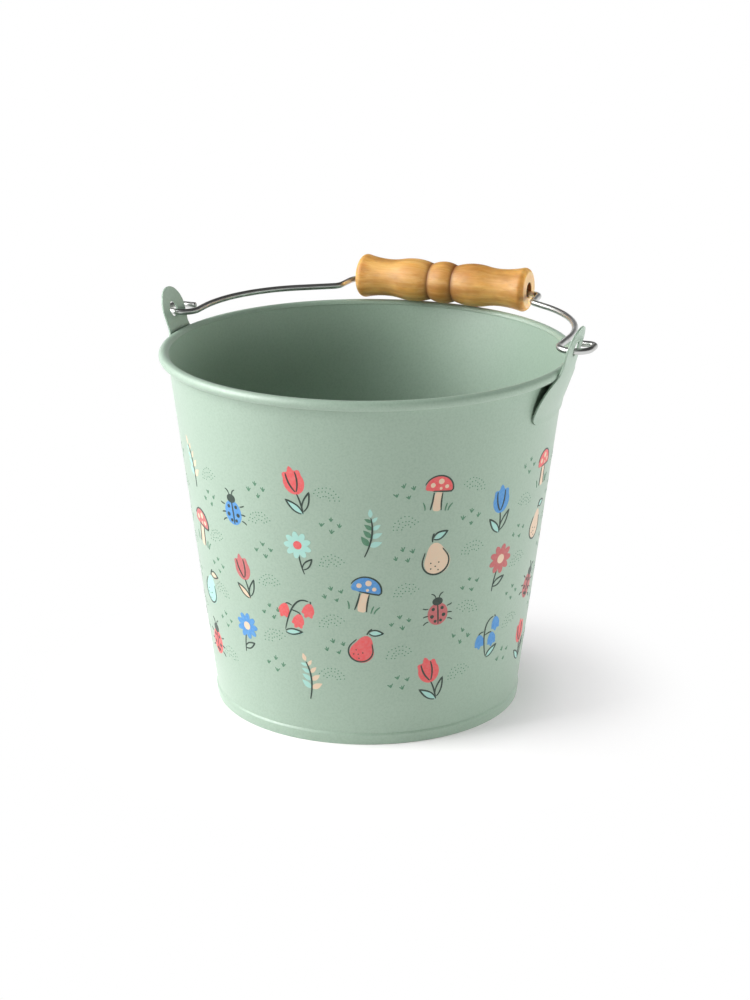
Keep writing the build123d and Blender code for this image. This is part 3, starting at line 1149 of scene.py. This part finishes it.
@dataclass(frozen=True)
class Bail:
    """One length of wire: an open eye round each ear, an arm, a bow, a step and the run in the grip."""

    hinge_height: float
    grip: Grip
    ear: Ear
    wire_radius: float = 1.25
    bore_seat: float = 0.35
    arm_inset: float = 7.5
    eye_room: float = 0.6
    eye_side_gap: float = 0.5
    run_shift: float = 3.6              # middle of the run in the grip, from the axis towards +X
    step_gap: float = 2.7
    step_slant: float = 1.1
    bow_slope: float = 32.0
    bends: tuple[float, ...] = (2.6, 5.5, 6.5, 51.0)
    tail_gaps: Pair = (5.5, 2.6)        # from the arm to the right and the left cut end
    step_lengths: Pair = (13.1, 15.1)
    step_bends: Pair = (3.2, 5.0)
    cut_round: float = 0.35             # edge of the cut ends
    cut_rows: int = 6                   # rows of the mesh along that edge
    same_place: float = 1e-4            # points of the bent line that are nearer than this become one
    steps: int = 28                     # round the wire
    bend_steps: int = 26

    def corners(self, tail_gap: float, shift: float, step_length: float) -> list[Pair]:
        """Corners of one half of the wire.

        Args:
            tail_gap: From the arm to the cut end.
            shift: How far the run in the grip is moved towards this half.
            step_length: From the bow to the line of the grip.

        Returns:
            Points in the bail's own plane, as (across, out from the hinge), from the cut end.
        """
        line = self.ear.inner_line()
        inner = float(np.interp(self.hinge_height, line[:, 1], line[:, 0]))
        arm = inner - self.arm_inset
        tip = line[-1, 0] + self.ear.sheet / math.cos(math.radians(self.ear.lean))
        eye_side = tip + self.eye_side_gap + self.wire_radius
        eye_end = self.ear.top - self.hinge_height + self.eye_room + self.wire_radius
        step_head = self.grip.length / 2 + self.step_gap + self.wire_radius + shift
        step_foot = step_head + self.step_slant
        reach = self.reach_and_rise()[0]
        bow_end = reach - step_length
        bow_corner = bow_end - (arm - step_foot) * math.tan(math.radians(self.bow_slope))
        return [
            (arm + self.wire_radius + tail_gap, eye_end), (eye_side, eye_end), (eye_side, 0.0),
            (arm, 0.0), (arm, bow_corner), (step_foot, bow_end), (step_head, reach),
        ]

    def reach_and_rise(self) -> Pair:
        """Find the wire's run in the grip from the hinge.

        Returns:
            How far off it lies, and at what angle above the level.
        """
        low_in_bore = self.grip.bore - self.wire_radius - self.bore_seat
        up = self.grip.middle[2] - low_in_bore - self.hinge_height
        return math.hypot(self.grip.middle[1], up), math.atan2(up, self.grip.middle[1])

    def build(self) -> None:
        """Carry a circle along the bent line, close its cut ends, and dress the wire.

        A point at angle a is the line's own, plus the radius times the cosine of a across the line in
        the bail's plane and times the sine of a along the plane's normal.
        """
        shifts = (self.run_shift, -self.run_shift)
        right, left = map(self.corners, self.tail_gaps, shifts, self.step_lengths)
        points = right + [(-across, out) for across, out in reversed(left)]
        right_bends, left_bends = ([*self.bends, bend, bend] for bend in self.step_bends)
        line = rounded_line(points, [*right_bends, *reversed(left_bends)], self.bend_steps)
        steps_on = np.linalg.norm(np.diff(line, axis=0), axis=1)
        line = line[np.concatenate([[True], steps_on > self.same_place])]
        ways = np.gradient(line, axis=0)
        ways /= np.linalg.norm(ways, axis=1, keepdims=True)
        quarter = np.linspace(math.pi / 2, 0, self.cut_rows)
        setback = self.cut_round * (1 - np.sin(quarter))
        slim = self.cut_round * (1 - np.cos(quarter))
        start = line[0] + ways[0] * setback[:, None]
        finish = line[-1] - ways[-1] * setback[::-1, None]
        middles = np.concatenate([line[:1], start, line[1:-1], finish, line[-1:]])
        end_rows = self.cut_rows + 1
        tangents = np.concatenate([ways[[0] * end_rows], ways[1:-1], ways[[-1] * end_rows]])
        radii = np.full(len(middles), self.wire_radius)
        radii[1:end_rows] -= slim
        radii[-end_rows:-1] -= slim[::-1]
        radii[[0, -1]] = 0.0
        angles = np.linspace(0, TURN, self.steps, endpoint=False)
        across = np.stack([-tangents[:, 1], tangents[:, 0]], axis=-1)
        offset = radii[:, None] * np.cos(angles)
        flat = middles[:, None] + across[:, None] * offset[..., None]
        lift = radii[:, None] * np.sin(angles)
        rise = self.reach_and_rise()[1]
        grid = np.stack([
            flat[..., 0],
            flat[..., 1] * math.cos(rise) - lift * math.sin(rise),
            flat[..., 1] * math.sin(rise) + lift * math.cos(rise) + self.hinge_height,
        ], axis=-1)
        piece = Skin.weave(grid, wrap_columns=True, poles=True).piece("bail_wire_bent")
        along = np.broadcast_to(way_along(middles)[:, None], lift.shape)
        drawn = np.stack([along, offset, lift], axis=-1)
        drawn = drawn.reshape(-1, 3)[self.steps - 1:-(self.steps - 1)]
        values = piece.data.attributes.new("drawn", "FLOAT_VECTOR", "POINT").data
        values.foreach_set("vector", drawn.astype(np.float32).ravel())
        set_on(piece, ZincWire("bright_zinc_wire"), "bail", "bright_wire", "bail_wire")


# Print

class Ink(Enum):
    """Inks of the print, each with its colour and the colour of its thin places."""

    CORAL = ("#E2575A", "#DE6F6E")
    ROSE = ("#BC6263", "#BF7472")
    BLUE = ("#4A8AC9", "#5F99CC")
    TEAL = ("#A2D2C9", "#A9D2C8")
    PEACH = ("#E0C4A9", "#DAC6AE")
    LEAF = ("#4C7C60", "#5C8A6E")
    LINE = ("#2B3B33", "#35463D")

    def finish(self) -> ScreenInk:
        """The ink's finish."""
        return ScreenInk(f"{self.name.lower()}_screen_ink", *self.value)


def polar(radius: Any, stretch: Pair = (1.0, 1.0), middle: Pair = (0.0, 0.0)) -> Array:
    """A closed outline by its radius at each angle round its middle, stretched across and up."""
    return np.stack([radius * np.cos(ROUND), radius * np.sin(ROUND)], axis=-1) * stretch + middle


def curve(start: Pair, pull: Pair, end: Pair, steps: int = 16) -> Array:
    """Bend a line from start to end: they and pull are mixed by (1 - t)^2, t^2 and 2 t (1 - t)."""
    t = np.linspace(0, 1, steps)[:, None]
    return (1 - t)**2 * np.array(start) + 2 * t * (1 - t) * np.array(pull) + t**2 * np.array(end)


def pointed(side: int) -> Array:
    """Draw out one side of a round, up (1) or down (-1), to three points.

    Args:
        side: The side.

    Returns:
        The factor of the radius at each angle: one, plus a small share of the cosine of the angle from
        that side, quickened to three crests, times how far the angle faces that side.
    """
    height, quicken = 0.18, 7.2
    return 1 + height * np.clip(side * np.sin(ROUND), 0, 1) * np.cos(quicken * (ROUND - side * TURN / 4))


def leaf_outline(base: Pair, tip: Pair, width: float, steps: int = 16) -> Array:
    """Draw a closed leaf: half its width swells as the sine of a power of the way along it.

    Args:
        base: Where it grows.
        tip: Its tip.
        width: Its width.
        steps: Points along a side.

    Returns:
        The outline, anticlockwise.
    """
    power = 0.8         # below one, so that the leaf is widest nearer its base
    way = np.linspace(0, 1, steps)
    axis = np.subtract(tip, base)
    across = np.array([axis[1], -axis[0]]) / np.linalg.norm(axis)
    swell = width / 2 * np.sin(np.pi * way**power)
    right = base + axis * way[:, None] + across * swell[:, None]
    left = base + axis * way[:, None] - across * swell[:, None]
    return np.concatenate([right, left[-2:0:-1]])


@dataclass
class Pen:
    """Prints flat drawings on the wall as thin closed films."""

    wall: WallLine
    films: dict[Ink, list[Skin]] = field(default_factory=lambda: {ink: [] for ink in Ink})
    around: float = 0.0         # where the drawing's middle is: an angle and a height
    height: float = 0.0
    tilt: float = 0.0
    scale: float = 1.0
    film: float = 0.03          # thickness of one layer, heavier than ink so that it clears the wall
    root: float = 0.12          # how deep the closed underside lies in the sheet
    line_width: float = 0.62
    line_end: float = 0.6       # how much of its width a line has near its ends
    ribbon: tuple[float, ...] = (0.0, -1.0, -0.9, 0.9, 1.0)         # across a line, in halves of its width
    rings: tuple[float, ...] = (0.0, 1.0, 0.985, 0.66, 0.33, 0.0)   # of a filled shape, out to its edge
    misfit: Pair = (0.35, -0.25)    # how far a filling lies off its outline

    def lay(self, flat: Array, proud: Array) -> Array:
        """Turn and scale a drawing, then lay it on the wall round its middle.

        Args:
            flat: Points as (across, up).
            proud: How far each stands off the wall.

        Returns:
            The points in space.
        """
        cosine, sine = math.cos(self.tilt) * self.scale, math.sin(self.tilt) * self.scale
        across = flat[..., 0] * cosine - flat[..., 1] * sine
        up = (flat[..., 0] * sine + flat[..., 1] * cosine) * math.cos(self.wall.slope)
        height = self.height + up
        return self.wall.lay(self.around + across / self.wall.radius(height, 1), height, proud)

    def fill(self, ink: Ink, outline: Array, layer: int = 1) -> None:
        """Print a filled shape: rings from its underside out to its edge and back in over the top.

        A ring's points are the middle plus its share of the way to the outline.

        Args:
            ink: The ink.
            outline: Closed outline, anticlockwise.
            layer: How many films lie there.
        """
        share = np.array(self.rings)[:, None, None]
        top = self.film * layer
        proud = np.array([-self.root, -self.root, top, top, top, top])[:, None]
        middle = outline.mean(axis=0)
        grid = self.lay(middle + share * (outline - middle), proud)
        self.films[ink].append(Skin.weave(grid, wrap_columns=True, poles=True))

    def dot(self, ink: Ink, middle: Pair, radius: float, layer: int = 3, corners: int = 9) -> None:
        """Print a small dot with few corners."""
        angles = np.linspace(0, TURN, corners, endpoint=False)
        self.fill(ink, on_circle(angles) * radius + middle, layer)

    def line(self, ink: Ink, path: Array, width: float | None = None, layer: int = 3) -> None:
        """Print a line: a flat ribbon that swells from its ends like a brush stroke.

        Half its width is the line's own times the share that it has near its ends, plus the rest times
        the sine of the way along it.

        Args:
            ink: The ink.
            path: Points of the line.
            width: Its width where it is not the pen's own.
            layer: How many films lie there.
        """
        ways = np.gradient(path, axis=0)
        ways /= np.maximum(np.linalg.norm(ways, axis=1, keepdims=True), TINY)
        right = np.stack([ways[:, 1], -ways[:, 0]], axis=-1)
        swell = self.line_end + (1 - self.line_end) * np.sin(np.linspace(0, np.pi, len(path)))
        swell[[0, -1]] = 0.0
        half = swell * (width or self.line_width) / 2
        section = np.array(self.ribbon)
        top = self.film * layer
        proud = np.array([-self.root, -self.root / 2, top, top, -self.root / 2])
        flat = path[:, None] + right[:, None] * (half[:, None] * section)[..., None]
        lifted = np.broadcast_to(proud, (len(path), len(section))).copy()
        lifted[[0, -1]] = -self.root / 2
        self.films[ink].append(Skin.weave(self.lay(flat, lifted), wrap_columns=True, poles=True))

    def stroke(self, start: Pair, pull: Pair, end: Pair, width: float | None = None) -> None:
        """Print a bent line in the line ink."""
        self.line(Ink.LINE, curve(start, pull, end), width)

    def leaf(self, ink: Ink | None, base: Pair, tip: Pair, width: float) -> None:
        """Print an outlined leaf, filled a little beside its outline where it has an ink.

        Args:
            ink: Ink of the filling, or none.
            base: Where it grows.
            tip: Its tip.
            width: Its width.
        """
        outline = leaf_outline(base, tip, width)
        if ink:
            self.fill(ink, outline + self.misfit)
        self.line(Ink.LINE, np.concatenate([outline, outline[:1]]))


@dataclass(frozen=True)
class Motif(ABC):
    """A small garden drawing, about 15 mm high, in a main and a second ink."""

    main: Ink
    second: Ink

    @abstractmethod
    def draw(self, pen: Pen) -> None:
        """Draw the motif round the pen's place.

        Args:
            pen: The pen, at the motif's place.
        """


@dataclass(frozen=True)
class Tulip(Motif):
    """A cup with three tips on a bent stem between two leaves."""

    cup: float = 4.0

    def draw(self, pen: Pen) -> None:
        """Draw the bloom, its petals' lines, the stem and the leaves.

        Args:
            pen: The pen, at the motif's place.
        """
        pen.fill(self.main, polar(self.cup * pointed(1), (0.9, 1.12), (0.3, 3.0)))
        pen.stroke((-1.5, 6.4), (-2.0, 2.4), (0.0, -0.8))
        pen.stroke((1.7, 6.4), (2.1, 2.4), (0.0, -0.8))
        pen.stroke((0.0, -0.9), (0.7, -4.5), (0.0, -8.4))
        pen.leaf(self.second, (0.0, -8.0), (-4.3, -2.4), 2.1)
        pen.leaf(None, (0.2, -7.4), (4.2, -1.4), 1.9)


@dataclass(frozen=True)
class Pear(Motif):
    """A pear with a stalk, a leaf, a part of its outline and a few lenticels."""

    belly: float = 4.2
    neck: float = 0.62              # how much further the top is drawn out than the belly
    neck_width: float = 0.52        # over what angle
    outlined: tuple[int, int] = (12, 31)    # first point of the outline, and how many it has

    def draw(self, pen: Pen) -> None:
        """Draw the fruit, which is drawn out by a bell curve of the angle from the top.

        Args:
            pen: The pen, at the motif's place.
        """
        drawn_out = self.neck * np.exp(-((ROUND - TURN / 4) / self.neck_width)**2)
        start, count = self.outlined
        fruit = polar(self.belly * (1 + drawn_out), (1.0, 0.98), (0.0, -2.2))
        pen.fill(self.main, fruit + (0.5, -0.3))
        pen.line(Ink.LINE, np.roll(fruit, -start, axis=0)[:count])
        pen.stroke((0.0, 4.3), (0.1, 6.0), (1.0, 7.2))
        pen.leaf(self.second, (0.3, 5.4), (5.2, 6.6), 2.2)
        for across, up in ((-1.6, -2.2), (-0.4, -3.6), (-1.9, -4.0), (0.9, -2.6), (0.3, -5.0)):
            pen.dot(Ink.LINE, (across, up), 0.24)


@dataclass(frozen=True)
class Ladybird(Motif):
    """A spotted beetle seen from above."""

    body: Pair = (3.7, 4.2)

    def draw(self, pen: Pen) -> None:
        """Draw the wing cases, the head, three spots a side, feelers and legs.

        Args:
            pen: The pen, at the motif's place.
        """
        pen.fill(self.main, polar(1.0, self.body, (0.0, -0.6)))
        pen.fill(self.second, polar(1.0, (1.9, 1.5), (0.0, 4.1)), layer=2)
        pen.stroke((0.0, 3.4), (0.15, 0.0), (0.0, -4.8))
        for side in (-1, 1):
            for across, up, radius in ((1.6, 1.4, 0.62), (2.1, -1.3, 0.7), (1.0, -3.2, 0.55)):
                pen.dot(self.second, (side * across, up), radius, corners=14)
            pen.stroke((side * 0.6, 5.3), (side * 0.8, 6.9), (side * 2.3, 7.2), 0.45)
            for up, drop in ((1.8, 0.6), (-0.8, -0.3), (-3.0, -1.1)):
                foot = (side * 5.3, up + drop)
                pen.stroke((side * 3.3, up), (side * 4.6, up), foot, 0.45)


@dataclass(frozen=True)
class Daisy(Motif):
    """A daisy of many petals on a stem with one leaf."""

    petals: int = 9

    def draw(self, pen: Pen) -> None:
        """Draw the petals round their heart, then the stem and the leaf.

        Args:
            pen: The pen, at the motif's place.
        """
        heart = np.array([0.0, 3.0])
        pen.line(Ink.LINE, curve((0.0, 2.6), (-0.8, -3.0), (0.3, -8.2)), layer=1)
        for angle in np.linspace(0, TURN, self.petals, endpoint=False) + 0.2:
            cosine, sine = math.cos(angle), math.sin(angle)
            petal = polar(1.0, (2.0, 1.12), (3.0, 0.0)) @ np.array([[cosine, sine], [-sine, cosine]])
            pen.fill(self.main, petal + heart, layer=2)
        pen.fill(self.second, polar(1.55, middle=tuple(heart)), layer=3)
        pen.leaf(None, (-0.1, -6.0), (4.0, -2.4), 2.0)


@dataclass(frozen=True)
class Mushroom(Motif):
    """A domed mushroom with pale spots, among blades of grass."""

    cap: float = 5.0
    cap_drop: float = 0.9           # from its middle to the level where it is cut off
    crispness: float = 6.0          # power of the soft minimum
    outlined: tuple[int, int] = (20, 34)    # first point of the outline, and how many it has

    def draw(self, pen: Pen) -> None:
        """Draw the stalk and the cap, which is a round cut off level below by a soft minimum.

        Args:
            pen: The pen, at the motif's place.
        """
        power = self.crispness
        start, count = self.outlined
        level = np.clip(-np.sin(ROUND), 0, 1) / self.cap_drop
        cap = polar((self.cap**-power + level**power)**(-1 / power), (1.0, 0.92), (0.0, 0.8))
        square = (np.abs(np.cos(ROUND))**4 + np.abs(np.sin(ROUND))**4)**(-1 / 4)
        pen.fill(self.second, polar(square, (1.5, 3.4), (0.3, -3.6)))
        pen.fill(self.main, cap + (0.3, 0.0), layer=2)
        pen.line(Ink.LINE, np.roll(cap, -start, axis=0)[:count])
        pen.stroke((-1.5, -0.2), (-1.3, -4.0), (-1.9, -6.8))
        pen.stroke((1.5, -0.2), (1.4, -4.0), (2.0, -6.8))
        for across, up, radius in ((-2.3, 2.0, 0.85), (0.4, 3.4, 1.0), (2.6, 1.7, 0.7), (0.6, 1.0, 0.5)):
            pen.dot(Ink.PEACH, (across, up), radius, corners=14)
        for across, lean in ((-3.6, -1.1), (3.4, 0.4), (4.4, 1.4)):
            pen.line(Ink.LEAF, curve((across, -6.9), (across, -5.4), (across + lean, -4.0)), 0.5)


@dataclass(frozen=True)
class Bellflower(Motif):
    """A bent stem with three hanging bells and a long leaf."""

    bell: float = 2.35
    flare: float = 0.11         # how much wider it grows with each millimetre down

    def draw(self, pen: Pen) -> None:
        """Draw the stem, and each bell as a round that widens downwards to three points.

        Args:
            pen: The pen, at the motif's place.
        """
        pen.stroke((-2.2, -8.2), (-3.4, 7.0), (3.2, 5.9))
        shape = polar(self.bell * pointed(-1), (0.86, 1.12))
        shape[:, 0] *= 1 - self.flare * shape[:, 1]
        hung = (((3.6, 2.9), (3.2, 5.9)), ((-4.4, -0.6), (-2.0, 2.2)), ((1.3, -2.2), (-2.3, 0.6)))
        for middle, stalk in hung:
            neck = (middle[0], middle[1] + self.bell)
            pen.fill(self.main, shape + middle)
            pen.stroke(stalk, (middle[0], stalk[1] + 0.5), neck, 0.5)
        pen.leaf(self.second, (-2.2, -8.0), (3.6, -5.6), 2.0)


@dataclass(frozen=True)
class Sprig(Motif):
    """A bent twig with pairs of leaves that grow smaller towards its tip."""

    pairs: int = 4
    first: int = 8              # point of the twig where the first pair grows
    apart: int = 6              # and points from there to the next
    leaf_length: float = 4.2
    leaf_width: float = 0.46    # as a share of its length
    shrink: float = 0.13        # how much shorter each pair is than the first
    spread: float = 0.95        # angle between leaf and twig
    leaf_steps: int = 10

    def draw(self, pen: Pen) -> None:
        """Draw the twig and its leaves, each turned off the twig's own direction.

        Args:
            pen: The pen, at the motif's place.
        """
        twig = curve((0.4, -8.2), (2.2, 0.0), (-0.8, 5.4), steps=31)
        pen.line(Ink.LINE, twig)
        ways = np.gradient(twig, axis=0)
        for pair in range(self.pairs):
            number = self.first + self.apart * pair
            heading = math.atan2(ways[number, 1], ways[number, 0])
            length = self.leaf_length * (1 - self.shrink * pair)
            for side, ink in ((-1, self.main), (1, self.second)):
                tip = twig[number] + length * on_circle(heading + side * self.spread)
                pen.fill(ink, leaf_outline(twig[number], tip, self.leaf_width * length, self.leaf_steps))
        pen.fill(self.main, leaf_outline(twig[-1], twig[-1] + (-0.9, 2.8), 1.4, self.leaf_steps))


@dataclass(frozen=True)
class PrintedBand:
    """The print round the wall: garden motifs in half-drop columns, with seeds and sprouts between."""

    wall: WallLine
    columns: int = 16
    low: float = 29.0           # height of the lowest motifs of a full column
    high: float = 105.0
    per_column: int = 4
    jitter: float = 2.0
    tilt: float = 20.0          # degrees that a motif may lean
    scale: Pair = (1.12, 1.3)
    next_column: int = 3        # how far the list of motifs moves on from column to column
    next_row: int = 2           # and from row to row, so that no kind stands beside itself
    seed: int = 7               # of the random numbers
    strew_turn: float = 0.02        # how far tufts and seeds stray: round the wall, up it, and turned
    strew_rise: float = 2.5
    strew_tilt: float = 0.35
    tufts: tuple[Pair, ...] = ((-4.0, -1.2), (-0.6, 1.6), (2.9, -0.4), (0.2, -3.4))
    blade_angles: tuple[float, ...] = (1.0, 1.57, 2.14)
    blade_length: Pair = (1.9, 3.1)
    blade_width: float = 0.52
    blade_pull: float = 0.8         # how far up a blade starts straight
    seed_arcs: tuple[tuple[float, int], ...] = ((2.0, 5), (3.6, 8), (5.2, 10))  # reach and number of seeds
    seed_fan: Pair = (0.3, 2.85)
    seed_stray: float = 0.3
    seed_radius: float = 0.27
    seed_drop: float = 2.5

    def motifs(self) -> list[Motif]:
        """List the motifs in the order in which they are printed.

        Returns:
            Each kind in three colourings.
        """
        return [
            Tulip(Ink.CORAL, Ink.TEAL), Sprig(Ink.TEAL, Ink.LEAF), Ladybird(Ink.ROSE, Ink.LINE),
            Bellflower(Ink.BLUE, Ink.TEAL), Pear(Ink.PEACH, Ink.TEAL), Daisy(Ink.ROSE, Ink.PEACH),
            Mushroom(Ink.CORAL, Ink.PEACH),
            Tulip(Ink.BLUE, Ink.TEAL), Sprig(Ink.BLUE, Ink.TEAL), Ladybird(Ink.CORAL, Ink.LINE),
            Bellflower(Ink.ROSE, Ink.PEACH), Pear(Ink.TEAL, Ink.PEACH), Daisy(Ink.BLUE, Ink.PEACH),
            Mushroom(Ink.ROSE, Ink.PEACH),
            Tulip(Ink.ROSE, Ink.PEACH), Sprig(Ink.PEACH, Ink.TEAL), Ladybird(Ink.BLUE, Ink.LINE),
            Bellflower(Ink.CORAL, Ink.TEAL), Pear(Ink.CORAL, Ink.TEAL), Daisy(Ink.TEAL, Ink.CORAL),
            Mushroom(Ink.BLUE, Ink.PEACH),
        ]

    def build(self) -> None:
        """Print the motifs and what is strewn between them, and dress the films of each ink."""
        pen = Pen(self.wall)
        chance = np.random.default_rng(self.seed)
        motifs = self.motifs()
        step = (self.high - self.low) / (self.per_column - 1)
        for column in range(self.columns):
            shifted = column % 2
            for row in range(self.per_column - shifted):
                shift = chance.uniform(-1, 1, 3)
                pen.height = self.low + (row + shifted / 2) * step + self.jitter * shift[0]
                pen.around = column * TURN / self.columns + self.jitter * shift[1] / self.wall.foot_radius
                pen.tilt = math.radians(self.tilt) * shift[2]
                pen.scale = chance.uniform(*self.scale)
                motifs[(self.next_column * column + self.next_row * row) % len(motifs)].draw(pen)
        self.strew(pen, chance, step / 2)
        for ink, films in pen.films.items():
            piece = Skin.join(films).piece(f"print_{ink.name.lower()}")
            set_on(piece, ink.finish(), "bucket", "painted_steel")

    def strew(self, pen: Pen, chance: np.random.Generator, step: float) -> None:
        """Print sprouts and arcs of seeds between the columns.

        Args:
            pen: The pen.
            chance: Random numbers.
            step: From one row of them to the next.
        """
        pen.scale = 1.0
        for column in range(self.columns):
            for row in range(2 * self.per_column - 1):
                shift = chance.uniform(-1, 1, 3)
                pen.around = (column + 0.5) * TURN / self.columns + self.strew_turn * shift[0]
                pen.height = self.low + row * step + self.strew_rise * shift[1]
                pen.tilt = self.strew_tilt * shift[2]
                if (column + row) % 2:
                    self.sprouts(pen, chance)
                else:
                    self.seeds(pen, chance)

    def sprouts(self, pen: Pen, chance: np.random.Generator) -> None:
        """Print tufts of three short blades that fan out from one point.

        Args:
            pen: The pen, at their place.
            chance: Random numbers.
        """
        for root in self.tufts:
            for angle in self.blade_angles:
                tip = root + chance.uniform(*self.blade_length) * on_circle(angle)
                blade = curve(root, (root[0], root[1] + self.blade_pull), tip, steps=5)
                pen.line(Ink.LEAF, blade, self.blade_width, layer=1)

    def seeds(self, pen: Pen, chance: np.random.Generator) -> None:
        """Print seeds along three arcs, one inside the other.

        Args:
            pen: The pen, at their place.
            chance: Random numbers.
        """
        for arc, count in self.seed_arcs:
            for angle in np.linspace(*self.seed_fan, count):
                reach = arc + chance.uniform(-self.seed_stray, self.seed_stray)
                place = (reach * math.cos(angle), reach * math.sin(angle) - self.seed_drop)
                pen.dot(Ink.LEAF, place, self.seed_radius, layer=1, corners=6)


# Studio

@dataclass(frozen=True)
class SoftBox:
    """A square studio lamp, placed by its direction from the object as the camera sees it."""

    name: str
    aside: float        # degrees to the right of the camera
    above: float        # degrees above the floor
    size: float
    power: float
    mirrored: bool = True   # whether it shows in reflections


@dataclass(frozen=True)
class Studio:
    """White paper, soft lamps, a pale room and the camera."""

    aim: float = 80.28              # height that the camera looks at
    distance: float = 973.1
    azimuth: float = 22.4
    elevation: float = 18.05
    image: tuple[int, int] = (750, 1000)
    focal_pixels: float = 2409.6
    axis_pixel: float = 367.56      # where the lens axis meets the picture, from its left
    sensor: float = 36.0
    clip: Pair = (10.0, 100000.0)   # nearest and furthest that the camera sees
    floor_rings: tuple[float, ...] = (9000.0, 3000.0, 1000.0, 300.0, 0.0)
    floor_steps: int = 48
    room_light: float = 0.02        # what the room gives the object
    zenith: float = 0.07            # how bright the ceiling looks in reflections
    horizon: Pair = (0.12, 0.34)    # heights between which the look falls from white to the ceiling's
    lamp_distance: float = 1100.0
    lamps: tuple[SoftBox, ...] = (
        SoftBox("key_high", -75.0, 33.0, 700.0, 11.0),
        SoftBox("key_rear", -105.0, 35.0, 700.0, 4.8),
        SoftBox("key_low", -72.0, 10.0, 420.0, 3.8),
        SoftBox("key_top", -80.0, 72.0, 700.0, 2.4, mirrored=False),
        SoftBox("fill_left", -25.0, 10.0, 420.0, 0.3, mirrored=False),
        SoftBox("fill_rear", 108.0, 12.0, 500.0, 4.4, mirrored=False),
        SoftBox("fill_front", 62.0, 7.0, 280.0, 5.2, mirrored=False),
    )

    def towards(self, aside: float, above: float) -> Vector:
        """Find a direction from the object.

        Args:
            aside: Degrees to the right of the camera.
            above: Degrees above the floor.

        Returns:
            The direction, of length one.
        """
        angle, height = math.radians(self.azimuth + aside), math.radians(above)
        flat = math.cos(height)
        return Vector((math.sin(angle) * flat, -math.cos(angle) * flat, math.sin(height)))

    def build(self) -> None:
        """Set up the camera, the paper, the lamps and the room."""
        self.set_camera()
        self.set_floor()
        for lamp in self.lamps:
            self.set_lamp(lamp)
        self.set_room()
        bpy.context.scene.view_settings.view_transform = "Standard"

    def set_camera(self) -> None:
        """Place the camera at the photograph's angle, with its lens axis a little off the middle."""
        data = bpy.data.cameras.new("camera")
        data.sensor_width = self.sensor
        data.lens = self.focal_pixels / max(self.image) * self.sensor
        data.shift_x = (self.image[0] / 2 - self.axis_pixel) / max(self.image)
        data.clip_start, data.clip_end = (end * MM for end in self.clip)
        camera = bpy.data.objects.new("camera", data)
        away = self.towards(0.0, self.elevation)
        camera.location = Vector((0, 0, self.aim * MM)) + away * self.distance * MM
        camera.rotation_euler = away.to_track_quat("Z", "Y").to_euler()
        bpy.context.scene.collection.objects.link(camera)
        bpy.context.scene.camera = camera

    def set_floor(self) -> None:
        """Lay a round sheet of paper: rings that widen to its edge, with the middle drawn together."""
        profile = np.stack([self.floor_rings, np.zeros(len(self.floor_rings))], axis=-1)
        floor = Skin.weave(turned(profile, self.floor_steps), wrap_columns=True).piece("paper_floor")
        floor.data.materials.append(PaperFloor("studio_paper").material())

    def set_lamp(self, lamp: SoftBox) -> None:
        """Hang a lamp and point it at the object's middle.

        Args:
            lamp: The lamp.
        """
        data = bpy.data.lights.new(lamp.name, "AREA")
        data.size = lamp.size * MM
        data.energy = lamp.power
        light = bpy.data.objects.new(lamp.name, data)
        away = self.towards(lamp.aside, lamp.above)
        light.location = Vector((0, 0, self.aim * MM)) + away * self.lamp_distance * MM
        light.rotation_euler = away.to_track_quat("Z", "Y").to_euler()
        light.visible_camera = False
        light.visible_glossy = lamp.mirrored
        bpy.context.scene.collection.objects.link(light)

    def set_room(self) -> None:
        """Give the room an even light, and a look that is white all round and darker overhead."""
        world = bpy.data.worlds.new("pale_room")
        world.use_nodes = True
        tree = world.node_tree
        way = add_node(tree, "ShaderNodeTexCoord").outputs["Generated"]
        up = add_node(tree, "ShaderNodeSeparateXYZ", {0: way}).outputs["Z"]
        overhead = add_node(tree, "ShaderNodeMapRange", {
            "Value": up, "From Min": self.horizon[0], "From Max": self.horizon[1],
            "To Min": 1.0, "To Max": self.zenith}).outputs[0]
        light, look = (
            add_node(tree, "ShaderNodeBackground", {"Color": WHITE, "Strength": strength}).outputs[0]
            for strength in (self.room_light, overhead))
        both = add_node(tree, "ShaderNodeMixShader", {0: looked_at(tree), 1: light, 2: look}).outputs[0]
        connect(tree, tree.nodes["World Output"], {"Surface": both})
        bpy.context.scene.world = world


def note_sizes() -> None:
    """Update the view layer."""
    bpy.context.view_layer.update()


def main() -> None:
    """Build and dress the pieces in order, then set up the studio."""
    logging.basicConfig(level=logging.INFO, format="%(name)s: %(message)s")
    wall = WallLine.from_frame()
    Bucket(wall).build()
    ears = [Ear.from_frame(wall, side) for side in Side]
    for ear in ears:
        ear.build()
    grip = Grip.from_frame()
    grip.build()
    Bail(joint_place("bail_swing")[2], grip, ears[1]).build()
    PrintedBand(wall).build()
    Studio().build()
    note_sizes()


if __name__ == "__main__":
    main()
